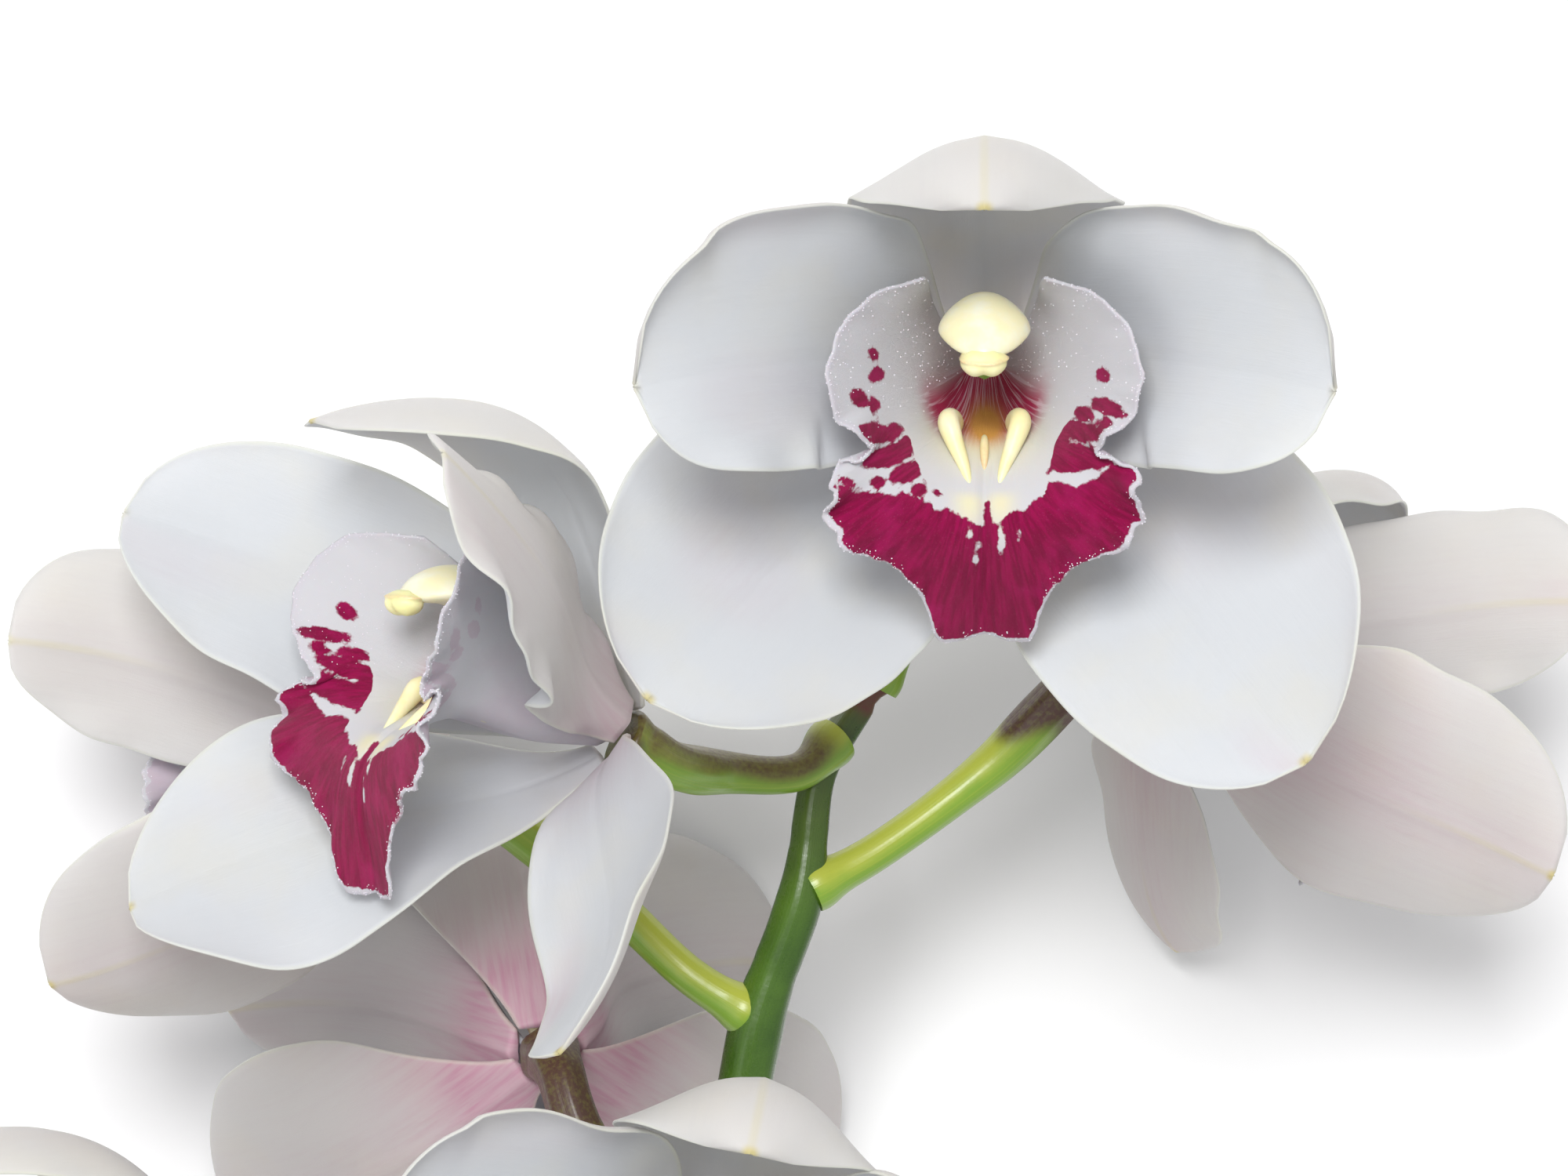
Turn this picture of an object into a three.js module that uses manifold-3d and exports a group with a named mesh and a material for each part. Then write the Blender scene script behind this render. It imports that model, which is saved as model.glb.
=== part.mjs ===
// A cut spray of cymbidium orchids, lying down: seven flowers on one green stem.
// Millimetres. +Y runs along the stem towards its tip, +Z is up from the surface it lies on.
import * as THREE from "three";
import { mergeVertices } from "three/addons/utils/BufferGeometryUtils.js";
import Module from "manifold-3d";

// ---- Driving dimensions ----------------------------------------------------------------
const SEPAL_LENGTH = 65.5;
const PETAL_LENGTH = 64;
const HOOD_LENGTH = 62.5;
const SEPAL_HALF_WIDTH = 22;
const PETAL_HALF_WIDTH = 17;
const BLADE_THICKNESS = 1.1;
const LIP_THICKNESS = 1.1;
const LIP_SCALE = 1;
const RECEPTACLE_RADIUS = 4.4;
const COLUMN_HALF_WIDTH = 3;
const PEDICEL_RADIUS = 2.6;
const OVARY_RADIUS = 3.3;
const STEM_TIP_RADIUS = 1.7;
const STEM_RADIUS = 3.9;
const STEM_FOOT_Y = -372;
const JOINT_GAP = 0.35;

// ---- Colours ---------------------------------------------------------------------------
const FINISH = {
  petal: { color: 0xe9ebee, roughness: 0.52 },
  sepal: { color: 0xe6e6e9, roughness: 0.52 },
  lip: { color: 0xc23a74, roughness: 0.45 },
  column: { color: 0xf3ecb4, roughness: 0.4 },
  stem: { color: 0x3f6410, roughness: 0.35 },
  pedicel: { color: 0x93a32f, roughness: 0.35 },
};

function finish(name) {
  return new THREE.MeshStandardMaterial({ ...FINISH[name], metalness: 0, side: THREE.DoubleSide });
}

// ---- Small mathematics -----------------------------------------------------------------
const rad = THREE.MathUtils.degToRad;
const lerp = THREE.MathUtils.lerp;

// A smooth value along evenly spaced keys, at s from 0 to 1.
function along(keys, s) {
  const last = keys.length - 1;
  const x = THREE.MathUtils.clamp(s, 0, 1) * last;
  const i = Math.min(Math.floor(x), last - 1);
  const f = x - i;
  const b = keys[i];
  const c = keys[i + 1];
  const a = i > 0 ? keys[i - 1] : 2 * b - c;
  const d = i < last - 1 ? keys[i + 2] : 2 * c - b;
  return b + 0.5 * f * (c - a + f * (2 * a - 5 * b + 4 * c - d + f * (3 * b - a - 3 * c + d)));
}

// A smooth value through keys at places of their own, each key [place, value].
function through(keys, s) {
  let i = 0;
  while (i < keys.length - 2 && s > keys[i + 1][0]) i += 1;
  const [p, a] = keys[i];
  const [q, b] = keys[i + 1];
  const slope = (j) => {
    const lo = keys[Math.max(j - 1, 0)];
    const hi = keys[Math.min(j + 1, keys.length - 1)];
    return (hi[1] - lo[1]) / (hi[0] - lo[0]);
  };
  const h = q - p;
  const f = THREE.MathUtils.clamp((s - p) / h, 0, 1);
  const g = 1 - f;
  const bend = slope(i) * f * g * g - slope(i + 1) * f * f * g;
  return a * g * g * (1 + 2 * f) + b * f * f * (3 - 2 * f) + h * bend;
}

// ---- Skins -----------------------------------------------------------------------------
// Closes a row of equal rings into one body. A blade's ring runs out along its face and home
// along its back, so its ends are closed by a strip; a round ring's ends are closed by a fan.
function loft(rings, ends) {
  const count = rings[0].length;
  const positions = rings.flat().flatMap((p) => [p.x, p.y, p.z]);
  const index = [];
  for (let i = 0; i < rings.length - 1; i += 1) {
    for (let j = 0; j < count; j += 1) {
      const a = i * count + j;
      const b = i * count + ((j + 1) % count);
      index.push(a, b, b + count, a, b + count, a + count);
    }
  }
  const foot = (rings.length - 1) * count;
  const cap = (a, b, c) => {
    index.push(a, c, b);
    index.push(foot + a, foot + b, foot + c);
  };
  if (ends === "strip") {
    for (let j = 0; j < count / 2 - 1; j += 1) {
      const k = count - 1 - j;
      if (j + 1 < k - 1) cap(j, j + 1, k - 1);
      cap(j, k - 1, k);
    }
  } else {
    for (let j = 1; j < count - 1; j += 1) cap(0, j, j + 1);
  }
  const geometry = new THREE.BufferGeometry();
  geometry.setAttribute("position", new THREE.Float32BufferAttribute(positions, 3));
  geometry.setIndex(signedVolume(positions, index) < 0 ? index.reverse() : index);
  geometry.computeVertexNormals();
  return geometry;
}

function signedVolume(positions, index) {
  const corner = (k) => new THREE.Vector3().fromArray(positions, 3 * index[k]);
  let sum = 0;
  for (let k = 0; k < index.length; k += 3) {
    sum += corner(k).dot(corner(k + 1).cross(corner(k + 2)));
  }
  return sum / 6;
}

// Thickens a grid of surface points into a closed body, half the thickness to each side.
function shell(grid, thickness) {
  const rows = grid.length;
  const columns = grid[0].length;
  const rings = grid.map((row, i) => {
    const face = [];
    const back = [];
    row.forEach((p, j) => {
      const alongRow = new THREE.Vector3().subVectors(
        row[Math.min(j + 1, columns - 1)],
        row[Math.max(j - 1, 0)],
      );
      const alongColumn = new THREE.Vector3().subVectors(
        grid[Math.min(i + 1, rows - 1)][j],
        grid[Math.max(i - 1, 0)][j],
      );
      const out = alongRow.cross(alongColumn).setLength(thickness / 2);
      face.push(p.clone().add(out));
      back.unshift(p.clone().sub(out));
    });
    return [...face, ...back];
  });
  return loft(rings, "strip");
}

// What is left of one closed geometry when another is cut away from it.
const wasm = await Module();
wasm.setup();

function solid(geometry) {
  const bare = geometry.clone();
  bare.deleteAttribute("normal");
  const merged = mergeVertices(bare, 1e-4);
  const vertProperties = merged.attributes.position.array;
  const triVerts = new Uint32Array(merged.index.array);
  return new wasm.Manifold(new wasm.Mesh({ numProp: 3, vertProperties, triVerts }));
}

function cutAway(geometry, tool) {
  const left = solid(geometry).subtract(solid(tool)).decompose();
  left.sort((a, b) => b.volume() - a.volume());
  const { vertProperties, triVerts } = left[0].getMesh();
  const cut = new THREE.BufferGeometry();
  cut.setAttribute("position", new THREE.BufferAttribute(vertProperties, 3));
  cut.setIndex(new THREE.BufferAttribute(triVerts, 1));
  cut.computeVertexNormals();
  return cut;
}

// ---- Sepals and petals -----------------------------------------------------------------
// Each blade is drawn for the flower's left side. Clock is the way it sets out round the
// flower (degrees, 90 at the top), sway its bend round the flower, rise the angle of its
// midrib forward of the flower's plane at even steps from foot to tip, and twist its roll.
// The first of each pair is the anticlockwise half, as seen from the front. Cup is how far
// each half curls forward from midrib to margin, in degrees, at even steps from foot to tip.
// Blunt, where it is given, makes a blade's end fuller.
const PETAL = {
  clock: 175,
  sway: 20,
  length: PETAL_LENGTH,
  rise: [60, 65, 42, 29],
  twist: [0, 3, 6, 12],
  half: [PETAL_HALF_WIDTH - 3.2, PETAL_HALF_WIDTH + 3.5],
  widest: 0.58,
  belly: 1.2,
  foot: 3.2,
  lift: 1.8,
  cup: [
    [4, 8, 20, 24],
    [12, 26, 37, 37],
  ],
};
const BROAD_PETAL = {
  half: [PETAL_HALF_WIDTH - 3.2, PETAL_HALF_WIDTH + 4],
  blunt: 4.2,
};
const LATERAL = {
  clock: 223,
  sway: 5,
  length: SEPAL_LENGTH,
  rise: [22, 29, 36, 32],
  twist: [0, 1, -1, -2],
  half: [SEPAL_HALF_WIDTH - 0.4, SEPAL_HALF_WIDTH + 1],
  widest: 0.52,
  belly: 1.35,
  foot: 3.1,
  lift: 0,
  cup: [
    [15, 14, 16, 28],
    [20, 20, 17, 29],
  ],
};
const HOOD = {
  clock: 90,
  sway: 0,
  length: HOOD_LENGTH,
  rise: [42, 47, 63, 96, 160],
  twist: [0, 0],
  half: [SEPAL_HALF_WIDTH - 2.8, SEPAL_HALF_WIDTH - 2.8],
  widest: 0.62,
  belly: 1.35,
  foot: 4,
  lift: -0.3,
  cup: [
    [20, 22, 46, 54],
    [20, 22, 46, 54],
  ],
};

function halfWidth(blade, side, s) {
  const half = blade.half[side];
  const narrow = blade.foot / half;
  if (s < blade.widest) {
    const rise = Math.sin((s / blade.widest) * (Math.PI / 2)) ** blade.belly;
    return half * lerp(narrow, 1, rise);
  }
  const fall = (s - blade.widest) / (1 - blade.widest);
  return half * lerp(0.06, 1, Math.sqrt(Math.max(0, 1 - fall ** (blade.blunt ?? 2.4))));
}

// The midrib of a blade: places and directions at even steps.
function midrib(blade, steps) {
  const start = rad(blade.clock);
  const place = new THREE.Vector3(
    Math.cos(start) * RECEPTACLE_RADIUS,
    Math.sin(start) * RECEPTACLE_RADIUS,
    blade.lift,
  );
  const frames = [];
  for (let i = 0; i <= steps; i += 1) {
    const s = i / steps;
    const clock = rad(blade.clock + blade.sway * s ** 1.5);
    const rise = rad(along(blade.rise, s));
    const outward = new THREE.Vector3(Math.cos(clock), Math.sin(clock), 0);
    const forward = new THREE.Vector3(0, 0, 1);
    const heading = outward.clone().multiplyScalar(Math.cos(rise));
    heading.addScaledVector(forward, Math.sin(rise));
    const face = forward.clone().multiplyScalar(Math.cos(rise));
    face.addScaledVector(outward, -Math.sin(rise));
    if (i > 0) {
      const stride = blade.length / steps / 2;
      place.addScaledVector(frames[i - 1].heading, stride).addScaledVector(heading, stride);
    }
    const roll = rad(along(blade.twist, s));
    const across = new THREE.Vector3().crossVectors(heading, face);
    const acrossRolled = across.clone().multiplyScalar(Math.cos(roll));
    acrossRolled.addScaledVector(face, Math.sin(roll));
    const faceRolled = face.clone().multiplyScalar(Math.cos(roll));
    faceRolled.addScaledVector(across, -Math.sin(roll));
    frames.push({ place: place.clone(), heading, across: acrossRolled, face: faceRolled });
  }
  return frames;
}

function bladeGrid(blade, rows, columns, hand) {
  const fine = 12;
  const frames = midrib(blade, rows * fine);
  const grid = [];
  for (let i = 0; i <= rows; i += 1) {
    const s = i / rows;
    const frame = frames[i * fine];
    const row = [];
    for (let j = 0; j <= columns; j += 1) {
      const t = (2 * j) / columns - 1;
      const side = t > 0 ? 1 : 0;
      const half = halfWidth(blade, side, s);
      const cup = rad(along(blade.cup[side], s));
      const reach = Math.abs(t);
      const turn = cup * reach;
      const run = cup === 0 ? half * reach : (half * Math.sin(turn)) / cup;
      const swell = cup === 0 ? 0 : (half * (1 - Math.cos(turn))) / cup;
      const p = frame.place.clone();
      p.addScaledVector(frame.across, Math.sign(t) * run);
      p.addScaledVector(frame.face, swell);
      row.push(new THREE.Vector3(hand * p.x, p.y, p.z));
    }
    grid.push(row);
  }
  return grid;
}

// ---- Lip -------------------------------------------------------------------------------
// The lip is a fan. Its rays set out from a small U behind the mouth, run along the throat
// and spread to the margin. Turn is 0 down the midline and 1 at a side lobe's upper edge.
const LIP_FOOT = [
  [0, 0, -2.5, 2.2],
  [0.5, 1.9, -1.4, 2.2],
  [1, 2.9, 0.8, 2.2],
];
const LIP_THROAT = [
  [0, 0, -6.6, 12],
  [0.4, 2.4, -6.2, 12],
  [0.7, 4.4, -3.6, 11],
  [1, 4.9, 3.6, 10],
];
const LIP_MOUTH = [
  [0, 0, -10, 26],
  [0.35, 4, -10, 26],
  [0.6, 7, -8, 26],
  [0.8, 8.4, -3, 25],
  [0.9, 8, 3, 23],
  [1, 6.9, 7.8, 20],
];
const LIP_SHOULDER = [
  [0, 0, -20.5, 32.5],
  [0.2, 5, -19.5, 33],
  [0.35, 9.5, -16, 33.5],
  [0.6, 11.2, -9.5, 33],
  [0.8, 14.2, -2.2, 35],
  [0.9, 12.4, 5, 34],
  [1, 7.3, 10.2, 30],
];
const LIP_MARGIN = [
  [0, 0, -34.5, 23],
  [0.05, 3, -35.2, 23.4],
  [0.09, 5.8, -35.4, 24.2],
  [0.14, 7.2, -31.6, 27.5],
  [0.2, 9.4, -27.6, 30],
  [0.28, 13.6, -24.7, 33],
  [0.35, 18.2, -23.2, 35],
  [0.5, 19.6, -17.6, 37],
  [0.57, 18.7, -13.4, 38],
  [0.65, 13.9, -11.2, 37.5],
  [0.72, 17.2, -8, 40],
  [0.82, 19.7, -0.5, 42.5],
  [0.91, 15.5, 7.6, 41],
  [1, 7.6, 10.9, 35],
];

function fan(stations, turn) {
  const axis = (k) => through(stations.map((row) => [row[0], row[k]]), turn);
  return new THREE.Vector3(axis(1), axis(2), axis(3));
}

function lipGrid(rows) {
  const half = LIP_MARGIN.map((station) => station[0]);
  const turns = [...half.slice(1).reverse().map((turn) => -turn), ...half];
  const grid = [];
  for (const t of turns) {
    const turn = Math.abs(t);
    const rings = [LIP_FOOT, LIP_THROAT, LIP_MOUTH, LIP_SHOULDER, LIP_MARGIN];
    const ray = new THREE.CatmullRomCurve3(rings.map((ring) => fan(ring, turn)), false, "centripetal");
    const line = ray.getPoints(rows).map((p) => new THREE.Vector3(Math.sign(t) * p.x, p.y, p.z));
    grid.push(line.map((p) => p.multiplyScalar(LIP_SCALE)));
  }
  return grid;
}

// ---- Column, pedicels and stem ---------------------------------------------------------
// Rings of an oval section along a curve. Wide and high give half sizes at even steps, and
// overrun lengthens both ends.
function ovalTube(curve, wide, high, rows, sides, up, overrun = 0) {
  const rings = [];
  for (let i = 0; i <= rows; i += 1) {
    const s = i / rows;
    const centre = curve.getPointAt(s);
    const heading = curve.getTangentAt(s);
    if (i === 0) centre.addScaledVector(heading, -overrun);
    if (i === rows) centre.addScaledVector(heading, overrun);
    const across = new THREE.Vector3().crossVectors(heading, up).normalize();
    const top = new THREE.Vector3().crossVectors(across, heading);
    const ring = [];
    for (let j = 0; j < sides; j += 1) {
      const turn = (j / sides) * Math.PI * 2;
      const p = centre.clone().addScaledVector(across, Math.cos(turn) * along(wide, s));
      ring.push(p.addScaledVector(top, Math.sin(turn) * along(high, s)));
    }
    rings.push(ring);
  }
  return loft(rings, "fan");
}

// The column arches over the lip's mouth: a slim foot, winged shoulders and the anther cap.
function columnGeometry() {
  const w = COLUMN_HALF_WIDTH;
  const axis = new THREE.CatmullRomCurve3([
    new THREE.Vector3(0, 1.9, 0.9),
    new THREE.Vector3(0, 4.8, 13),
    new THREE.Vector3(0, 6, 24),
    new THREE.Vector3(0, 4.9, 32),
    new THREE.Vector3(0, 1.2, 38.5),
  ]);
  const wide = [0.66, 0.8, 0.95, 1.1, 1.5, 1.85, 0.75].map((k) => k * w);
  const high = [0.6, 0.68, 0.8, 0.95, 1.1, 1.05, 0.5].map((k) => k * w);
  return ovalTube(axis, wide, high, 8, 8, new THREE.Vector3(0, 1, 0));
}

// ---- The flowers -----------------------------------------------------------------------
// Heart is the top of the ovary, facing the way the flower looks, crown the way its hood
// stands. Node is how far its pedicel leaves the stem from the tip.
// Bend lists the places that the pedicel passes between the stem and the ovary, and swing turns
// the lip and column to the flower's right, in degrees.
const FLOWERS = [
  {
    name: "f1",
    heart: [26.6, 29.7, -28],
    facing: [-0.037, -0.041, 1],
    crown: [0, 1, 0],
    node: 2.5,
    bend: [[18, -3, -50], [24, 12, -49]],
    left: {
      petal: BROAD_PETAL,
    },
    right: {
      petal: { ...BROAD_PETAL, sway: 22 },
      lateral: {
        clock: 231,
        sway: 0,
        length: SEPAL_LENGTH + 2.5,
        rise: [22, 28, 27, 27],
        twist: [0, 0, -1, 10],
        half: [SEPAL_HALF_WIDTH - 1.6, SEPAL_HALF_WIDTH + 1.9],
      },
    },
  },
  {
    name: "f2",
    heart: [-22.3, -19.4, -32],
    facing: [-0.777, 0.463, 0.426],
    crown: [0.402, 0.886, -0.232],
    node: 10,
    bend: [[2, -25, -47], [-8, -25, -44]],
    hood: {
      length: HOOD_LENGTH + 9,
      rise: [38, 49, 68, 116, 136],
      twist: [-3, -9],
      cup: [[18, 20, 16, 4], [18, 20, 50, 54]],
      half: [SEPAL_HALF_WIDTH - 4, SEPAL_HALF_WIDTH - 2.8],
      blunt: 1.5,
    },
    swing: 6,
    left: {
      petal: {
        clock: 170,
        sway: 22,
        length: PETAL_LENGTH + 6,
        rise: [57, 62, 56, 60],
        twist: [0, 4, -4, -13],
        half: [PETAL_HALF_WIDTH - 0.5, PETAL_HALF_WIDTH + 1],
      },
      lateral: {
        clock: 244,
        sway: -10,
        rise: [30, 49, 37, 30],
        twist: [8, 4, 24, 3],
        half: [SEPAL_HALF_WIDTH - 1, SEPAL_HALF_WIDTH - 2.5],
        cup: [[7, 16, 7, 24], [20, 21, 23, 28]],
      },
    },
    right: {
      petal: {
        clock: 168,
        sway: -18,
        rise: [74, 40, 64, 66],
        twist: [-8, 8, 18, 17],
        half: [PETAL_HALF_WIDTH - 2.8, PETAL_HALF_WIDTH],
        cup: [[10, 21, 13, 22], [7, 26, 35, 37]],
      },
      lateral: {
        clock: 221,
        sway: 14,
        rise: [34, -5, 9, 26],
        twist: [5, -11, 9, -1],
        half: [SEPAL_HALF_WIDTH - 9, SEPAL_HALF_WIDTH - 6],
        cup: [[12, 23, 8, 28], [20, 22, 15, 29]],
      },
    },
  },
  {
    name: "f3",
    size: 0.9,
    heart: [-49.5, -25, -55],
    facing: [-0.7, 0.3, -0.65],
    crown: [0.1, 0.95, -0.1],
    node: 51,
    bend: [[-13, -53, -52], [-24, -43, -54]],
    left: {
      petal: { clock: 174, rise: [62, 67, 47, 33] },
      lateral: {
        clock: 211,
        rise: [30, 55, 61, 57],
        length: SEPAL_LENGTH - 4,
        half: [SEPAL_HALF_WIDTH - 9, SEPAL_HALF_WIDTH - 9.5],
      },
    },
    right: {
      petal: { clock: 173.5, sway: 20, rise: [60, 64, 41, 27] },
      lateral: {
        clock: 239,
        sway: -9,
        rise: [20, 18, 35, 41],
        length: SEPAL_LENGTH - 3,
      },
    },
  },
  {
    name: "f4",
    heart: [-32.5, -64, -57],
    facing: [-0.2, 0.2, -0.92],
    crown: [-0.05, 1, 0.3],
    node: 86,
    left: {
      petal: { clock: 180, sway: 18, rise: [62, 68, 34, 30] },
      lateral: { clock: 222, sway: 12, rise: [28, 34, 38, 30] },
    },
    right: {
      petal: { clock: 178, sway: 24, rise: [60, 65, 52, 44] },
      lateral: { clock: 222, sway: -8, rise: [28, 36, 50, 46] },
    },
    bend: [[-16, -84, -46], [-27, -75, -45]],
  },
  {
    name: "f5",
    heart: [-9, -95, -20],
    facing: [0.02, 0.14, 0.98],
    crown: [0.2, 0.97, -0.14],
    node: 104,
    bend: [[-9, -101, -42], [-9.5, -98, -35]],
    left: {
      petal: BROAD_PETAL,
    },
    right: {
      petal: BROAD_PETAL,
    },
  },
  {
    name: "f6",
    heart: [-78, -115.5, -40],
    facing: [-0.777, 0.463, 0.426],
    crown: [0.402, 0.886, -0.232],
    node: 136,
    bend: [[-38, -137, -50], [-62, -128, -48]],
    like: "f2",
  },
  {
    name: "f7",
    size: 0.9,
    heart: [51.7, -9.8, -58],
    facing: [0.86, 0.03, -0.51],
    crown: [-0.13, 0.98, -0.16],
    node: 32.5,
    bend: [[13, -36, -53], [28.5, -24.5, -55]],
    left: {
      petal: { clock: 173.5, sway: 20, rise: [60, 66, 38, 25] },
      lateral: { clock: 230, sway: -2, rise: [28, 36, 47, 36] },
    },
    right: {
      lateral: {
        clock: 219,
        sway: 2,
        rise: [16, 22, 28, 45],
        twist: [0, -8, -8, -27],
        half: [SEPAL_HALF_WIDTH - 4, SEPAL_HALF_WIDTH - 4],
        blunt: 1.5,
      },
    },
  },
];

// The stem, from its tip behind the top flower to its cut foot on the surface.
const STEM_PATH = [
  [13.4, -12, -50],
  [9, -18, -50.5],
  [5, -25, -51],
  [2.5, -42, -51],
  [-3.5, -60, -52],
  [-8, -90, -54],
  [-12, -140, -61.5],
  [-15, -230, -79],
  [-14, -310, -96.5],
  [-11, STEM_FOOT_Y, -110.6],
];

function point(p) {
  return new THREE.Vector3(p[0], p[1], p[2]);
}

const stemCurve = new THREE.CatmullRomCurve3(STEM_PATH.map(point), false, "centripetal");
const STEM_GIRTH = [
  STEM_TIP_RADIUS,
  lerp(STEM_TIP_RADIUS, STEM_RADIUS, 0.5),
  lerp(STEM_TIP_RADIUS, STEM_RADIUS, 0.95),
  STEM_RADIUS,
  STEM_RADIUS,
  STEM_RADIUS,
  STEM_RADIUS,
  STEM_RADIUS,
  STEM_RADIUS,
  STEM_RADIUS,
  STEM_RADIUS,
  STEM_RADIUS,
  STEM_RADIUS + 0.2,
];

// The flower whose blades this one copies, or itself.
function twinOf(flower) {
  return flower.like ? FLOWERS.find((other) => other.name === flower.like) : flower;
}

function styled(kind, base, flower, hand) {
  const twin = twinOf(flower);
  const own = kind === "hood" ? twin.hood : twin[hand < 0 ? "right" : "left"]?.[kind];
  return { ...base, ...own };
}

// The turn that carries a flower's own axes to the spray: x to its left, y to its crown.
function stance(flower) {
  const forward = point(flower.facing).normalize();
  const crown = point(flower.crown);
  crown.addScaledVector(forward, -crown.dot(forward)).normalize();
  const sideways = new THREE.Vector3().crossVectors(crown, forward);
  return new THREE.Matrix4().makeBasis(sideways, crown, forward);
}

function mesh(name, geometry, material) {
  const made = new THREE.Mesh(geometry, finish(material));
  made.name = name;
  return made;
}

function flowerGroup(flower) {
  const group = new THREE.Group();
  const hood = styled("hood", HOOD, flower, 1);
  const hoodSkin = shell(bladeGrid(hood, 8, 6, 1), BLADE_THICKNESS);
  group.add(mesh(`${flower.name}_dorsal_sepal`, hoodSkin, "sepal"));
  for (const [side, hand] of [["left", 1], ["right", -1]]) {
    const petal = styled("petal", PETAL, flower, hand);
    const lateral = styled("lateral", LATERAL, flower, hand);
    const petalSkin = shell(bladeGrid(petal, 7, 6, hand), BLADE_THICKNESS);
    const lateralSkin = shell(bladeGrid(lateral, 7, 6, hand), BLADE_THICKNESS);
    group.add(mesh(`${flower.name}_petal_${side}`, petalSkin, "petal"));
    group.add(mesh(`${flower.name}_lateral_sepal_${side}`, lateralSkin, "sepal"));
  }
  const swing = rad(twinOf(flower).swing ?? 0);
  const lipSkin = shell(lipGrid(6), LIP_THICKNESS).rotateY(swing);
  const columnSkin = columnGeometry().rotateY(swing);
  group.add(mesh(`${flower.name}_lip`, lipSkin, "lip"));
  group.add(mesh(`${flower.name}_column`, columnSkin, "column"));
  group.quaternion.setFromRotationMatrix(stance(flower));
  group.scale.setScalar(flower.size ?? 1);
  group.position.copy(point(flower.heart));
  return group;
}

// A pedicel leaves the stem's surface and swells into the ovary behind its flower.
function pedicelMesh(flower) {
  const forward = point(flower.facing).normalize();
  const heart = point(flower.heart);
  const end = heart.clone().addScaledVector(forward, -0.6 - JOINT_GAP);
  const behind = heart.clone().addScaledVector(forward, -9);
  const share = flower.node / stemCurve.getLength();
  const start = stemCurve.getPointAt(share);
  const bend = flower.bend.map(point);
  const leaving = bend[0].clone().sub(start).normalize();
  start.addScaledVector(leaving, along(STEM_GIRTH, share) * 0.4);
  const axis = new THREE.CatmullRomCurve3([start, ...bend, behind, end], false, "centripetal");
  const thin = PEDICEL_RADIUS;
  const thick = OVARY_RADIUS;
  const girth = [thin * 1.1, thin, thin * 1.05, thick, thick, RECEPTACLE_RADIUS];
  const up = new THREE.Vector3(0.31, 0.29, 0.9).normalize();
  const whole = ovalTube(axis, girth, girth, 9, 7, up);
  return mesh(`${flower.name}_pedicel`, cutAway(whole, stemRoom), "pedicel");
}

const stemUp = new THREE.Vector3(0, 0, 1);
const roomy = STEM_GIRTH.map((radius) => radius + JOINT_GAP);
const stemRoom = ovalTube(stemCurve, roomy, roomy, 26, 10, stemUp, JOINT_GAP);
const spray = new THREE.Group();
spray.add(mesh("stem", ovalTube(stemCurve, STEM_GIRTH, STEM_GIRTH, 26, 10, stemUp), "stem"));
for (const flower of FLOWERS) {
  spray.add(flowerGroup(flower));
  spray.add(pedicelMesh(flower));
}

// The part's origin is the middle of the underside of its box.
const whole = new THREE.Group();
whole.add(spray);
whole.updateMatrixWorld(true);
const box = new THREE.Box3().setFromObject(whole, true);
spray.position.set(-(box.min.x + box.max.x) / 2, -(box.min.y + box.max.y) / 2, -box.min.z);

export default whole;
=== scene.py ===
"""A cut spray of cymbidium orchids lying on a pale surface: seven flowers on one green stem.

Shapes are worked out in millimetres in the spray's own frame and stored in metres in the row's
frame. Every piece takes the place of the frame's node of the same part.
"""

import logging
import math
from dataclasses import dataclass, field, replace
from enum import Enum

import bpy
import numpy as np
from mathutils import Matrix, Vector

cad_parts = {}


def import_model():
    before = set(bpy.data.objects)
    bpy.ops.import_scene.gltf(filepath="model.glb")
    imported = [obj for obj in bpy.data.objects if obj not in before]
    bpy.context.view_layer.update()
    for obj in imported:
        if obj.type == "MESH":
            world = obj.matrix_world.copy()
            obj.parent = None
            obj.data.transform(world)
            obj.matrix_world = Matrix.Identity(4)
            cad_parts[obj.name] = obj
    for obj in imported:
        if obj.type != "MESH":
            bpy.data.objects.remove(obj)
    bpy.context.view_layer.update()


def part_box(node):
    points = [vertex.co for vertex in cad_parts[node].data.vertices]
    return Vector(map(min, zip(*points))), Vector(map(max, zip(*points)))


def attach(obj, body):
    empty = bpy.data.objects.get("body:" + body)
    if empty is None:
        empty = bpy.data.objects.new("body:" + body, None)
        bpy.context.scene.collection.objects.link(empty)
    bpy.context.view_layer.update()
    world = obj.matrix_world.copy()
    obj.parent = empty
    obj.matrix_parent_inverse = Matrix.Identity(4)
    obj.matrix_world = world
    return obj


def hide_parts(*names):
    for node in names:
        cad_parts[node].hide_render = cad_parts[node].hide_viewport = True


LOG = logging.getLogger("orchid")
MM = 0.001
Array = np.ndarray
Keys = tuple[float, ...]
Colour = tuple[float, float, float]
Socket = bpy.types.NodeSocket


class Hand(Enum):
    """The side of a flower, as its viewer sees it, and the sign of its mirror."""

    LEFT = 1
    RIGHT = -1


class Slot(Enum):
    """The finishes that a piece may take its colour from."""

    PETAL = "petal"
    SEPAL = "sepal"
    LIP = "lip"
    COLUMN = "column"
    PEDICEL = "pedicel"
    STEM = "stem"


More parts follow.
